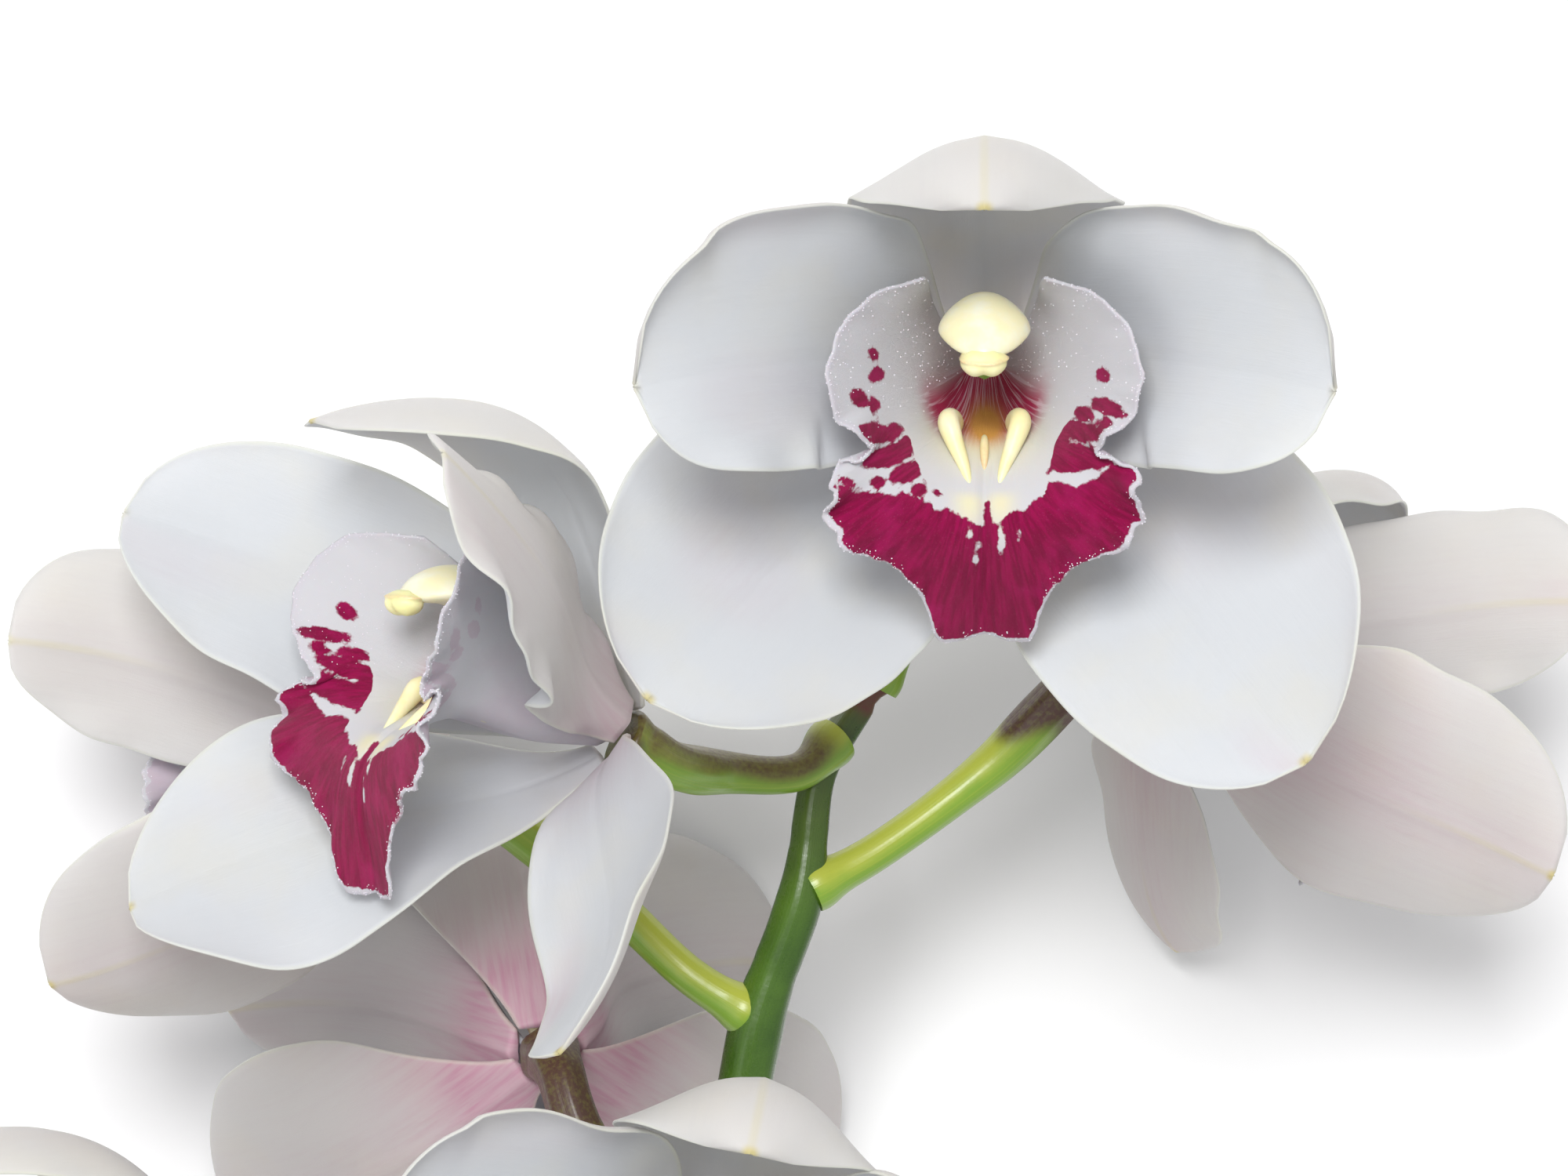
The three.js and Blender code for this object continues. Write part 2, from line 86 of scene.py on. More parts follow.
# ---- Small mathematics ---------------------------------------------------------------------
def along(keys: Keys, s: Array) -> Array:
    """Reads a smooth value off evenly spaced keys.

    Args:
        keys: The values at even steps.
        s: Places from 0 to 1.

    Returns:
        The value at each place.
    """
    k = np.asarray(keys, float)
    last = len(k) - 1
    x = np.clip(s, 0.0, 1.0) * last
    i = np.minimum(np.floor(x).astype(int), last - 1)
    f = x - i
    padded = np.concatenate([[2 * k[0] - k[1]], k, [2 * k[-1] - k[-2]]])
    a, b, c, d = (padded[i + n] for n in range(4))
    return b + 0.5 * f * (c - a + f * (2 * a - 5 * b + 4 * c - d + f * (3 * b - a - 3 * c + d)))


def through(keys: Array, s: Array) -> Array:
    """Reads smooth values off keys that stand at places of their own.

    Args:
        keys: Rows of a place and the values there.
        s: The places to read.

    Returns:
        A row of values for each place.
    """
    place, value = keys[:, 0], keys[:, 1:]
    count = len(place)
    j = np.arange(count)
    low, high = np.maximum(j - 1, 0), np.minimum(j + 1, count - 1)
    slope = (value[high] - value[low]) / (place[high] - place[low])[:, None]
    i = np.clip(np.searchsorted(place, s, side="left") - 1, 0, count - 2)
    h = (place[i + 1] - place[i])[:, None]
    f = np.clip((s[:, None] - place[i][:, None]) / h, 0, 1)
    g = 1 - f
    bend = slope[i] * f * g * g - slope[i + 1] * f * f * g
    return value[i] * g * g * (1 + 2 * f) + value[i + 1] * f * f * (3 - 2 * f) + h * bend


def smooth_line(points: Array, t: Array) -> Array:
    """Follows a centripetal Catmull-Rom line through points.

    Args:
        points: The points, or several rows of them.
        t: Places from 0 to 1, an equal share for each stretch between two points.

    Returns:
        The place on the line for each t.
    """
    last = points.shape[-2] - 1
    first = 2 * points[..., :1, :] - points[..., 1:2, :]
    final = 2 * points[..., -1:, :] - points[..., -2:-1, :]
    padded = np.concatenate([first, points, final], axis=-2)
    x = np.clip(t, 0, 1) * last
    i = np.minimum(np.floor(x).astype(int), last - 1)
    w = (x - i)[:, None]
    p0, p1, p2, p3 = (padded[..., i + n, :] for n in range(4))
    d0, d1, d2 = (
        np.sqrt(np.linalg.norm(b - a, axis=-1, keepdims=True)) + 1e-9
        for a, b in ((p0, p1), (p1, p2), (p2, p3))
    )
    t1 = ((p1 - p0) / d0 - (p2 - p0) / (d0 + d1) + (p2 - p1) / d1) * d1
    t2 = ((p2 - p1) / d1 - (p3 - p1) / (d1 + d2) + (p3 - p2) / d2) * d1
    c2 = -3 * p1 + 3 * p2 - 2 * t1 - t2
    c3 = 2 * p1 - 2 * p2 + t1 + t2
    return p1 + w * (t1 + w * (c2 + w * c3))


def evenly(points: Array, share: Array) -> tuple[Array, Array]:
    """Finds places and directions on a smooth line by their share of its length.

    Args:
        points: The points that the line passes.
        share: Shares of its length, from 0 to 1.

    Returns:
        The places, and the unit directions there.
    """
    t = np.linspace(0, 1, 201)
    line = smooth_line(points, t)
    reach = np.concatenate([[0], np.cumsum(np.linalg.norm(np.diff(line, axis=0), axis=1))])
    at = np.interp(share * reach[-1], reach, t)
    step = 1e-4
    ahead = smooth_line(points, np.minimum(at + step, 1))
    behind = smooth_line(points, np.maximum(at - step, 0))
    return smooth_line(points, at), unit(ahead - behind)


def line_length(points: Array) -> float:
    """The length of the smooth line through points."""
    line = smooth_line(points, np.linspace(0, 1, 201))
    return float(np.linalg.norm(np.diff(line, axis=0), axis=1).sum())


def unit(v: Array) -> Array:
    """Vectors of the same directions and length 1."""
    return v / np.maximum(np.linalg.norm(v, axis=-1, keepdims=True), 1e-12)


def ease(x: Array, low: float, high: float) -> Array:
    """A smooth step of x: 0 at low, 1 at high."""
    f = np.clip((x - low) / (high - low), 0, 1)
    return f * f * (3 - 2 * f)


def hump(x: Array, centre: float, width: float) -> Array:
    """A soft bell of x round a centre."""
    return np.exp(-(((x - centre) / width) ** 2))


def rolling(u: Array, v: Array, seed: int, waves: float) -> Array:
    """A gentle uneven field, the same for the same seed.

    Args:
        u: First coordinate, about 0 to 1.
        v: Second coordinate, about -1 to 1.
        seed: Fixes the field.
        waves: How many swells there are from end to end.

    Returns:
        Heights between about -1 and 1.
    """
    rng = np.random.default_rng(seed)
    total = np.zeros(np.broadcast(u, v).shape)
    for _ in range(6):
        way = rng.uniform(0, math.tau)
        pace = waves * math.tau * rng.uniform(0.55, 1.3)
        phase = rng.uniform(0, math.tau)
        total = total + np.sin(pace * (u * math.cos(way) + 0.5 * v * math.sin(way)) + phase)
    return total / 3.2


def normals_of(grid: Array) -> Array:
    """Unit normals of a grid of points, row by column."""
    down, across = np.gradient(grid, axis=0), np.gradient(grid, axis=1)
    return unit(np.cross(across, down))


# ---- Meshes --------------------------------------------------------------------------------
@dataclass
class Skin:
    """Points, faces and named values of one closed body, in millimetres of the spray's frame."""

    points: Array
    faces: list[Array]
    values: dict[str, Array] = field(default_factory=dict)

    def volume(self) -> float:
        """Six times the body's volume, positive where its faces point outwards."""
        total = 0.0
        for block in self.faces:
            a = self.points[block[:, 0]]
            for k in range(1, block.shape[1] - 1):
                b, c = self.points[block[:, k]], self.points[block[:, k + 1]]
                total += float(np.einsum("ij,ij->i", a, np.cross(b, c)).sum())
        return total

    def outward(self) -> "Skin":
        """The same body with its faces pointing outwards."""
        if self.volume() < 0:
            self.faces = [block[:, ::-1] for block in self.faces]
        return self

    def placed(self, turn: Array, size: float, place: Array) -> "Skin":
        """The same body turned, sized and moved."""
        return Skin(self.points @ turn.T * size + place, self.faces, self.values)


def joined(skins: list[Skin]) -> Skin:
    """Puts several bodies with the same named values into one.

    Args:
        skins: The bodies.

    Returns:
        One body list as a single skin.
    """
    faces: list[Array] = []
    start = 0
    for skin in skins:
        faces += [block + start for block in skin.faces]
        start += len(skin.points)
    values = {k: np.concatenate([s.values[k] for s in skins]) for k in skins[0].values}
    return Skin(np.concatenate([s.points for s in skins]), faces, values)


def shell(grid: Array, front: Array, back: Array, values: dict[str, Array]) -> Skin:
    """Makes a leaf-like body with a rounded rim from a grid of points.

    Args:
        grid: The middle surface, row by column.
        front: How far the face stands off it.
        back: How far the back stands off it.
        values: Named values on the grid.

    Returns:
        The closed body, with "outside" 0 on its face and 1 on its back.
    """
    rows, columns = grid.shape[:2]
    out = normals_of(grid)
    face = grid + out * front[..., None]
    rear = grid - out * back[..., None]
    i = np.arange(rows * columns).reshape(rows, columns)
    ring = np.concatenate([i[0, :], i[1:, -1], i[-1, -2::-1], i[-2:0:-1, 0]])
    inner = np.concatenate([i[1, :], i[1:, -2], i[-2, -2::-1], i[-2:0:-1, 1]])
    flat = grid.reshape(-1, 3)
    away = unit(flat[ring] - flat[inner])
    thick = (front + back).reshape(-1)[ring]
    rim = flat[ring] + away * thick[:, None] * 0.42
    count = rows * columns
    quads = np.stack([i[:-1, :-1], i[:-1, 1:], i[1:, 1:], i[1:, :-1]], -1).reshape(-1, 4)
    r = 2 * count + np.arange(len(ring))
    nxt = np.roll(np.arange(len(ring)), -1)
    upper = np.stack([ring, r, r[nxt], ring[nxt]], -1)
    lower = np.stack([r, ring + count, ring[nxt] + count, r[nxt]], -1)
    faces = [quads, quads[:, ::-1] + count, upper, lower]
    held = {}
    for name, value in values.items():
        v = np.broadcast_to(value, (rows, columns)).reshape(-1)
        held[name] = np.concatenate([v, v, v[ring]])
    held["outside"] = np.concatenate([np.zeros(count), np.ones(count), np.full(len(ring), 0.5)])
    points = np.concatenate([face.reshape(-1, 3), rear.reshape(-1, 3), rim])
    return Skin(points, faces, held).outward()


def round_body(rings: Array, values: dict[str, Array]) -> Skin:
    """Makes a closed body from a row of equal rings, with a point in the middle of each end.

    Args:
        rings: Points, ring by ring.
        values: Named values, one for each ring point.

    Returns:
        The closed body.
    """
    count, sides = rings.shape[:2]
    i = np.arange(count * sides).reshape(count, sides)
    nxt = np.roll(i, -1, axis=1)
    quads = np.stack([i[:-1], nxt[:-1], nxt[1:], i[1:]], -1).reshape(-1, 4)
    ends = np.stack([rings[0].mean(axis=0), rings[-1].mean(axis=0)])
    first = np.stack([nxt[0], i[0], np.full(sides, count * sides)], -1)
    final = np.stack([i[-1], nxt[-1], np.full(sides, count * sides + 1)], -1)
    held = {}
    for name, value in values.items():
        v = np.broadcast_to(value, (count, sides)).astype(float)
        held[name] = np.concatenate([v.reshape(-1), [v[0].mean(), v[-1].mean()]])
    points = np.concatenate([rings.reshape(-1, 3), ends])
    return Skin(points, [quads, first, final], held).outward()


def rings_along(
    line: tuple[Array, Array], wide: Array, high: Array, sides: int, up: Array
) -> Array:
    """Sets oval rings along a line.

    Args:
        line: Places and directions.
        wide: Half widths.
        high: Half heights.
        sides: Points in a ring.
        up: The way that height is measured.

    Returns:
        The rings' points, ring by ring.
    """
    place, heading = line
    across = unit(np.cross(heading, up))
    top = np.cross(across, heading)
    turn = np.arange(sides) / sides * math.tau
    flat = across[:, None, :] * (np.cos(turn)[None, :] * wide[:, None])[..., None]
    tall = top[:, None, :] * (np.sin(turn)[None, :] * high[:, None])[..., None]
    return place[:, None, :] + flat + tall


def mesh_of(name: str, skin: Skin, shift: Array) -> bpy.types.Mesh:
    """Writes a skin as a smooth mesh in metres of the row's frame.

    Args:
        name: The mesh's name.
        skin: The closed body.
        shift: From the spray's frame to the row's, in millimetres.

    Returns:
        The mesh.
    """
    mesh = bpy.data.meshes.new(name)
    corners = np.concatenate([block.reshape(-1) for block in skin.faces]).astype(np.int32)
    sizes = np.concatenate([np.full(len(b), b.shape[1]) for b in skin.faces]).astype(np.int32)
    starts = np.concatenate([[0], np.cumsum(sizes)[:-1]]).astype(np.int32)
    mesh.vertices.add(len(skin.points))
    mesh.vertices.foreach_set("co", ((skin.points + shift) * MM).astype(np.float32).ravel())
    mesh.loops.add(len(corners))
    mesh.loops.foreach_set("vertex_index", corners)
    mesh.polygons.add(len(sizes))
    mesh.polygons.foreach_set("loop_start", starts)
    mesh.polygons.foreach_set("loop_total", sizes)
    mesh.polygons.foreach_set("use_smooth", np.ones(len(sizes), bool))
    mesh.update(calc_edges=True)
    mesh.validate()
    for key, value in skin.values.items():
        layer = mesh.attributes.new(key, "FLOAT", "POINT")
        layer.data.foreach_set("value", value.astype(np.float32))
    return mesh


def shown(name: str, mesh: bpy.types.Mesh, look: bpy.types.Material) -> bpy.types.Object:
    """Adds a mesh to the scene in one finish.

    Args:
        name: The object's name.
        mesh: Its mesh.
        look: Its finish.

    Returns:
        The object, at the origin.
    """
    mesh.materials.clear()
    mesh.materials.append(look)
    made = bpy.data.objects.new(name, mesh)
    bpy.context.scene.collection.objects.link(made)
    return made


def settle(piece: bpy.types.Object, slot: Slot, *nodes: str) -> bpy.types.Object:
    """Fixes a finished piece to the spray's body and reports it.

    Args:
        piece: The piece.
        slot: The finish it belongs to; not used.
        *nodes: The frame's nodes that it stands for.

    Returns:
        The same piece.
    """
    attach(piece, "root")
    if nodes:
        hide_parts(*nodes)
    LOG.info("%s: %d faces", piece.name, len(piece.data.polygons))
    return piece


# ---- Node trees ----------------------------------------------------------------------------
class Graph:
    """A node tree that is filled in by short calls."""

    def __init__(self, tree: bpy.types.NodeTree) -> None:
        """Starts from a tree."""
        self.tree = tree

    def put(self, socket: Socket, value: object) -> None:
        """Links a socket to another, or sets its value."""
        if isinstance(value, bpy.types.NodeSocket):
            self.tree.links.new(value, socket)
        elif isinstance(value, tuple) and len(value) == 3 and socket.type == "RGBA":
            socket.default_value = (*value, 1.0)
        else:
            socket.default_value = value

    def add(
        self, kind: str, inputs: dict[str | int, object] | None = None, **settings: object
    ) -> bpy.types.Node:
        """Adds a node.

        Args:
            kind: Its type.
            inputs: What each input is linked or set to.
            **settings: Its own options.

        Returns:
            The node.
        """
        node = self.tree.nodes.new(kind)
        for name, value in settings.items():
            setattr(node, name, value)
        for key, value in (inputs or {}).items():
            self.put(node.inputs[key], value)
        return node

    def value(self, name: str) -> Socket:
        """A named value of the surface, in a finish."""
        return self.add("ShaderNodeAttribute", attribute_name=name).outputs["Fac"]

    def math(self, kind: str, a: object, b: object = 0.0, clamp: bool = False) -> Socket:
        """The result of one sum."""
        node = self.add("ShaderNodeMath", {0: a, 1: b}, operation=kind, use_clamp=clamp)
        return node.outputs[0]

    def times(self, *parts: object) -> Socket:
        """The product of several values."""
        total = parts[0]
        for part in parts[1:]:
            total = self.math("MULTIPLY", total, part)
        return total

    def plus(self, *parts: object) -> Socket:
        """The sum of several values."""
        total = parts[0]
        for part in parts[1:]:
            total = self.math("ADD", total, part)
        return total

    def step(self, value: Socket, low: float, high: float) -> Socket:
        """A smooth step from 0 at low to 1 at high."""
        inputs = {"Value": value, "From Min": low, "From Max": high}
        if low > high:
            inputs |= {"From Min": high, "From Max": low, "To Min": 1.0, "To Max": 0.0}
        kind = {"interpolation_type": "SMOOTHSTEP", "clamp": True}
        return self.add("ShaderNodeMapRange", inputs, **kind).outputs["Result"]

    def mix(self, factor: object, a: object, b: object, blend: str = "MIX") -> Socket:
        """Two colours mixed."""
        kind = {"data_type": "RGBA", "blend_type": blend, "clamp_factor": True}
        node = self.add("ShaderNodeMix", **kind)
        for index, value in ((0, factor), (6, a), (7, b)):
            self.put(node.inputs[index], value)
        return node.outputs[2]

    def noise(self, scale: float, detail: float = 2.0, vector: Socket | None = None) -> Socket:
        """Cloudy noise, 0 to 1, in object coordinates unless a vector is given."""
        at = vector or self.add("ShaderNodeTexCoord").outputs["Object"]
        inputs = {"Vector": at, "Scale": scale, "Detail": detail, "Roughness": 0.55}
        return self.add("ShaderNodeTexNoise", inputs).outputs["Fac"]

    def at(self, x: object, y: object, z: object = 0.0) -> Socket:
        """A vector from three values."""
        return self.add("ShaderNodeCombineXYZ", {0: x, 1: y, 2: z}).outputs[0]

    def bump(self, height: Socket, strength: float, depth: float) -> Socket:
        """A normal that shows a height, depth in metres."""
        inputs = {"Strength": strength, "Distance": depth, "Height": height}
        return self.add("ShaderNodeBump", inputs).outputs["Normal"]


def finish_graph(name: str) -> tuple[bpy.types.Material, Graph, bpy.types.Node]:
    """Starts a finish.

    Args:
        name: The material's name.

    Returns:
        The material, its graph and its shader node.
    """
    look = bpy.data.materials.new(name)
    look.use_nodes = True
    graph = Graph(look.node_tree)
    return look, graph, look.node_tree.nodes["Principled BSDF"]


# ---- Finishes ------------------------------------------------------------------------------
@dataclass(frozen=True)
class TepalFinish:
    """White waxy flesh of petals and sepals, with faint veins, a blush and a greenish rim."""

    name: str
    white: Colour = (0.555, 0.575, 0.6)
    cream: Colour = (0.59, 0.58, 0.53)
    blush: Colour = (0.5, 0.27, 0.35)
    rim: Colour = (0.58, 0.6, 0.46)
    point: Colour = (0.52, 0.42, 0.1)
    keel: Colour = (0.55, 0.5, 0.27)
    back: Colour = (0.6, 0.56, 0.49)
    creaminess: float = 0.5
    yellow_tip: float = 0.65
    yellow_keel: float = 0.28

    def make(self) -> bpy.types.Material:
        """Builds the finish."""
        look, g, shader = finish_graph(self.name)
        s, x, rim = g.value("along"), g.value("from_rib"), g.value("from_rim")
        off_rib = g.math("ABSOLUTE", x)
        outside, blush = g.value("outside"), g.value("blush")
        veins = g.noise(1.0, 3.0, g.at(g.times(x, 1.1), g.times(s, 5.0)))
        fine = g.noise(1.0, 2.0, g.at(g.times(x, 3.6), g.times(s, 16.0)))
        cloud = g.noise(55.0, 3.0)
        grain = g.noise(4200.0, 1.0)
        cells = g.add("ShaderNodeTexVoronoi", {"Scale": 3400.0}).outputs["Distance"]
        milky = g.times(g.step(cloud, 0.42, 0.72), self.creaminess)
        base = g.mix(milky, self.white, self.cream)
        base = g.mix(g.times(outside, 0.42), base, self.back)
        lines = g.times(g.step(veins, 0.5, 0.68), 0.045)
        base = g.mix(lines, base, (0.48, 0.51, 0.54))
        tinge = g.times(blush, g.plus(0.72, g.times(g.step(veins, 0.35, 0.75), 0.36)))
        base = g.mix(tinge, base, self.blush)
        middle = g.step(off_rib, 0.9, 0.1)
        ridge = g.times(middle, outside, g.step(s, 0.5, 0.95), self.yellow_keel)
        base = g.mix(ridge, base, self.keel)
        margin = g.times(g.step(rim, 0.6, 0.0), g.plus(0.1, g.times(cloud, 0.45)))
        base = g.mix(margin, base, self.rim)
        end = g.times(g.step(s, 0.98, 0.999), g.step(off_rib, 1.4, 0.3))
        tip = g.times(end, self.yellow_tip)
        base = g.mix(tip, base, self.point)
        speck = g.add("ShaderNodeTexVoronoi", {"Scale": 46.0, "Randomness": 1.0})
        fleck = g.times(g.step(speck.outputs["Distance"], 0.05, 0.02), g.step(cloud, 0.5, 0.6))
        base = g.mix(g.times(fleck, 0.35), base, (0.42, 0.4, 0.3))
        g.put(shader.inputs["Base Color"], base)
        g.put(shader.inputs["Roughness"], g.plus(0.42, g.times(grain, 0.2)))
        height = g.plus(g.times(fine, 0.45), g.times(veins, 0.9), g.times(cells, 0.22))
        g.put(shader.inputs["Normal"], g.bump(height, 0.35, 0.00022))
        g.put(shader.inputs["Subsurface Weight"], 0.5)
        g.put(shader.inputs["Subsurface Scale"], 0.0022)
        g.put(shader.inputs["Subsurface Radius"], (1.0, 0.93, 0.88))
        g.put(shader.inputs["Specular IOR Level"], 0.35)
        g.put(shader.inputs["Sheen Weight"], 0.08)
        g.put(shader.inputs["Sheen Roughness"], 0.45)
        return look


@dataclass(frozen=True)
class LipFinish:
    """White flesh with wine-red markings, a crimson throat and a cream crest."""

    name: str
    white: Colour = (0.66, 0.655, 0.69)
    wine: Colour = (0.32, 0.001, 0.07)
    dark: Colour = (0.21, 0.0005, 0.042)
    bright: Colour = (0.4, 0.005, 0.105)
    crimson: Colour = (0.48, 0.01, 0.09)
    stripe: Colour = (0.8, 0.5, 0.6)
    cream: Colour = (0.88, 0.82, 0.5)
    ochre: Colour = (0.78, 0.4, 0.07)
    lilac: Colour = (0.62, 0.5, 0.66)

    def make(self) -> bpy.types.Material:
        """Builds the finish."""
        look, g, shader = finish_graph(self.name)
        wine, rim, turn, s = (g.value(k) for k in ("wine", "from_rim", "turn", "along"))
        throat, cream, ochre = (g.value(k) for k in ("throat", "cream", "ochre"))
        outside = g.value("outside")
        soft = g.noise(800.0, 3.0)
        fine = g.noise(2600.0, 2.0)
        cloud = g.noise(150.0, 3.0)
        rays = g.noise(1.0, 3.0, g.at(g.times(turn, 60.0), g.times(s, 7.0)))
        ragged = g.plus(g.times(g.plus(soft, -0.5), 0.9), g.times(g.plus(fine, -0.5), 0.3))
        edge = g.plus(g.times(g.plus(rays, -0.5), 0.5), ragged)
        mark = g.step(g.plus(wine, edge), -0.24, 0.06)
        wines = g.mix(g.step(rays, 0.35, 0.7), self.dark, self.wine)
        wines = g.mix(g.times(g.step(cloud, 0.5, 0.75), 0.6), wines, self.bright)
        # Painted glint: pale pink specks over the wine marks stand in for light sparkling on the
        # papillae.
        painted_glint = g.times(g.step(g.noise(5200.0, 1.0), 0.62, 0.75), 0.06)
        wines = g.mix(painted_glint, wines, (0.72, 0.35, 0.5))
        pale = g.mix(cream, self.white, self.cream)
        pale = g.mix(g.times(g.step(rim, 1.3, 0.1), 0.14), pale, self.lilac)
        inner = g.mix(mark, pale, wines)
        band = g.noise(1.0, 2.0, g.at(g.times(turn, 34.0), g.times(s, 5.0)))
        deep = g.mix(g.step(band, 0.5, 0.62), self.crimson, self.stripe)
        inner = g.mix(throat, inner, deep)
        dots = g.add("ShaderNodeTexVoronoi", {"Scale": 1150.0, "Randomness": 0.75})
        pepper = g.step(dots.outputs["Distance"], 0.42, 0.3)
        inner = g.mix(ochre, inner, g.mix(pepper, self.ochre, (0.2, 0.01, 0.01)))
        through_skin = g.plus(g.times(mark, 0.3), g.times(throat, 0.16))
        tint = g.times(g.step(cloud, 0.4, 0.7), 0.1)
        outer = g.mix(g.plus(through_skin, tint), self.white, (0.5, 0.27, 0.4))
        base = g.mix(outside, inner, outer)
        g.put(shader.inputs["Base Color"], base)
        g.put(shader.inputs["Roughness"], g.plus(0.44, g.times(fine, 0.2)))
        cells = g.add("ShaderNodeTexVoronoi", {"Scale": 3800.0}).outputs["Distance"]
        height = g.plus(g.times(rays, 1.1), g.times(cells, 0.5), g.times(soft, 0.4))
        g.put(shader.inputs["Normal"], g.bump(height, 0.55, 0.00025))
        g.put(shader.inputs["Subsurface Weight"], 0.1)
        g.put(shader.inputs["Subsurface Scale"], 0.0008)
        g.put(shader.inputs["Specular IOR Level"], 0.22)
        g.put(shader.inputs["Sheen Weight"], 0.03)
        g.put(shader.inputs["Sheen Roughness"], 0.35)
        return look


@dataclass(frozen=True)
class WaxFinish:
    """Cream-yellow wax of the column, its cap and the crest, with a faint second tint."""

    name: str
    body: Colour = (0.86, 0.8, 0.5)
    tint: Colour = (0.84, 0.83, 0.66)
    spot: Colour = (0.55, 0.1, 0.1)
    roughness: float = 0.36

    def make(self) -> bpy.types.Material:
        """Builds the finish."""
        look, g, shader = finish_graph(self.name)
        mark = g.value("mark")
        cloud = g.noise(240.0, 3.0)
        fine = g.noise(2600.0, 2.0)
        base = g.mix(g.step(cloud, 0.38, 0.72), self.body, self.tint)
        base = g.mix(g.times(mark, g.plus(0.35, g.times(fine, 0.8))), base, self.spot)
        g.put(shader.inputs["Base Color"], base)
        g.put(shader.inputs["Roughness"], g.plus(self.roughness, g.times(fine, 0.14)))
        g.put(shader.inputs["Normal"], g.bump(g.plus(cloud, g.times(fine, 0.5)), 0.35, 0.00012))
        g.put(shader.inputs["Subsurface Weight"], 0.15)
        g.put(shader.inputs["Subsurface Scale"], 0.0012)
        return look


@dataclass(frozen=True)
class StalkFinish:
    """Glossy green skin of a stem or flower stalk that ripens to brown or purple, with painted
    light and shade.
    """

    name: str
    # painted shade: the darker green painted where the skin turns away from the light
    painted_shade_green: Colour
    # the paler green painted where the skin faces the light (painted light), also used for the pale
    # streaks and pores
    light: Colour
    ripe: Colour
    roughness: float = 0.27

    def make(self) -> bpy.types.Material:
        """Builds the finish."""
        look, g, shader = finish_graph(self.name)
        s, ripe, sunny, turn = (g.value(k) for k in ("along", "ripe", "sunny", "round"))
        cloud = g.noise(170.0, 3.0)
        grain = g.noise(1500.0, 2.0)
        strands = g.noise(1.0, 3.0, g.at(g.times(g.math("PINGPONG", turn, 0.5), 46.0), s))
        # Painted light and shade: the green runs from the painted shade to the painted light as the
        # skin turns towards the light.
        base = g.mix(g.step(g.plus(sunny, g.times(g.plus(cloud, -0.5), 0.7)), 0.1, 0.9),
                     self.painted_shade_green, self.light)
        base = g.mix(g.times(g.step(strands, 0.45, 0.7), 0.3), base, self.light)
        base = g.mix(g.times(ripe, g.plus(0.72, g.times(grain, 0.5))), base, self.ripe)
        pores = g.add("ShaderNodeTexVoronoi", {"Scale": 900.0}).outputs["Distance"]
        dusty = g.times(g.step(pores, 0.14, 0.06), g.plus(0.2, g.times(ripe, -0.2)))
        base = g.mix(dusty, base, self.light)
        g.put(shader.inputs["Base Color"], base)
        rough = g.plus(self.roughness, g.times(grain, 0.12), g.times(ripe, 0.1))
        g.put(shader.inputs["Roughness"], rough)
        height = g.plus(g.times(strands, 1.2), g.times(grain, 0.4), g.times(cloud, 0.8))
        g.put(shader.inputs["Normal"], g.bump(height, 0.4, 0.00018))
        g.put(shader.inputs["Coat Weight"], 0.25)
        g.put(shader.inputs["Coat Roughness"], 0.2)
        return look


@dataclass(frozen=True)
class FibreFinish:
    """Pale wet pith, or the darker ends of the fibres that stand in it."""

    name: str
    body: Colour
    tint: Colour

    def make(self) -> bpy.types.Material:
        """Builds the finish."""
        look, g, shader = finish_graph(self.name)
        cloud, grain = g.noise(700.0, 3.0), g.noise(3200.0, 2.0)
        base = g.mix(g.step(cloud, 0.35, 0.7), self.body, self.tint)
        g.put(shader.inputs["Base Color"], base)
        g.put(shader.inputs["Roughness"], g.plus(0.4, g.times(grain, 0.3)))
        g.put(shader.inputs["Normal"], g.bump(grain, 0.5, 0.0001))
        return look


@dataclass(frozen=True)
class FloorFinish:
    """A plain pale matt surface."""

    name: str
    pale: Colour = (0.93, 0.93, 0.935)

    def make(self) -> bpy.types.Material:
        """Builds the finish."""
        look, g, shader = finish_graph(self.name)
        grain = g.noise(300.0, 2.0)
        g.put(shader.inputs["Base Color"], g.mix(g.times(grain, 0.1), self.pale, (0.9, 0.9, 0.91)))
        g.put(shader.inputs["Roughness"], 0.85)
        g.put(shader.inputs["Specular IOR Level"], 0.15)
        return look


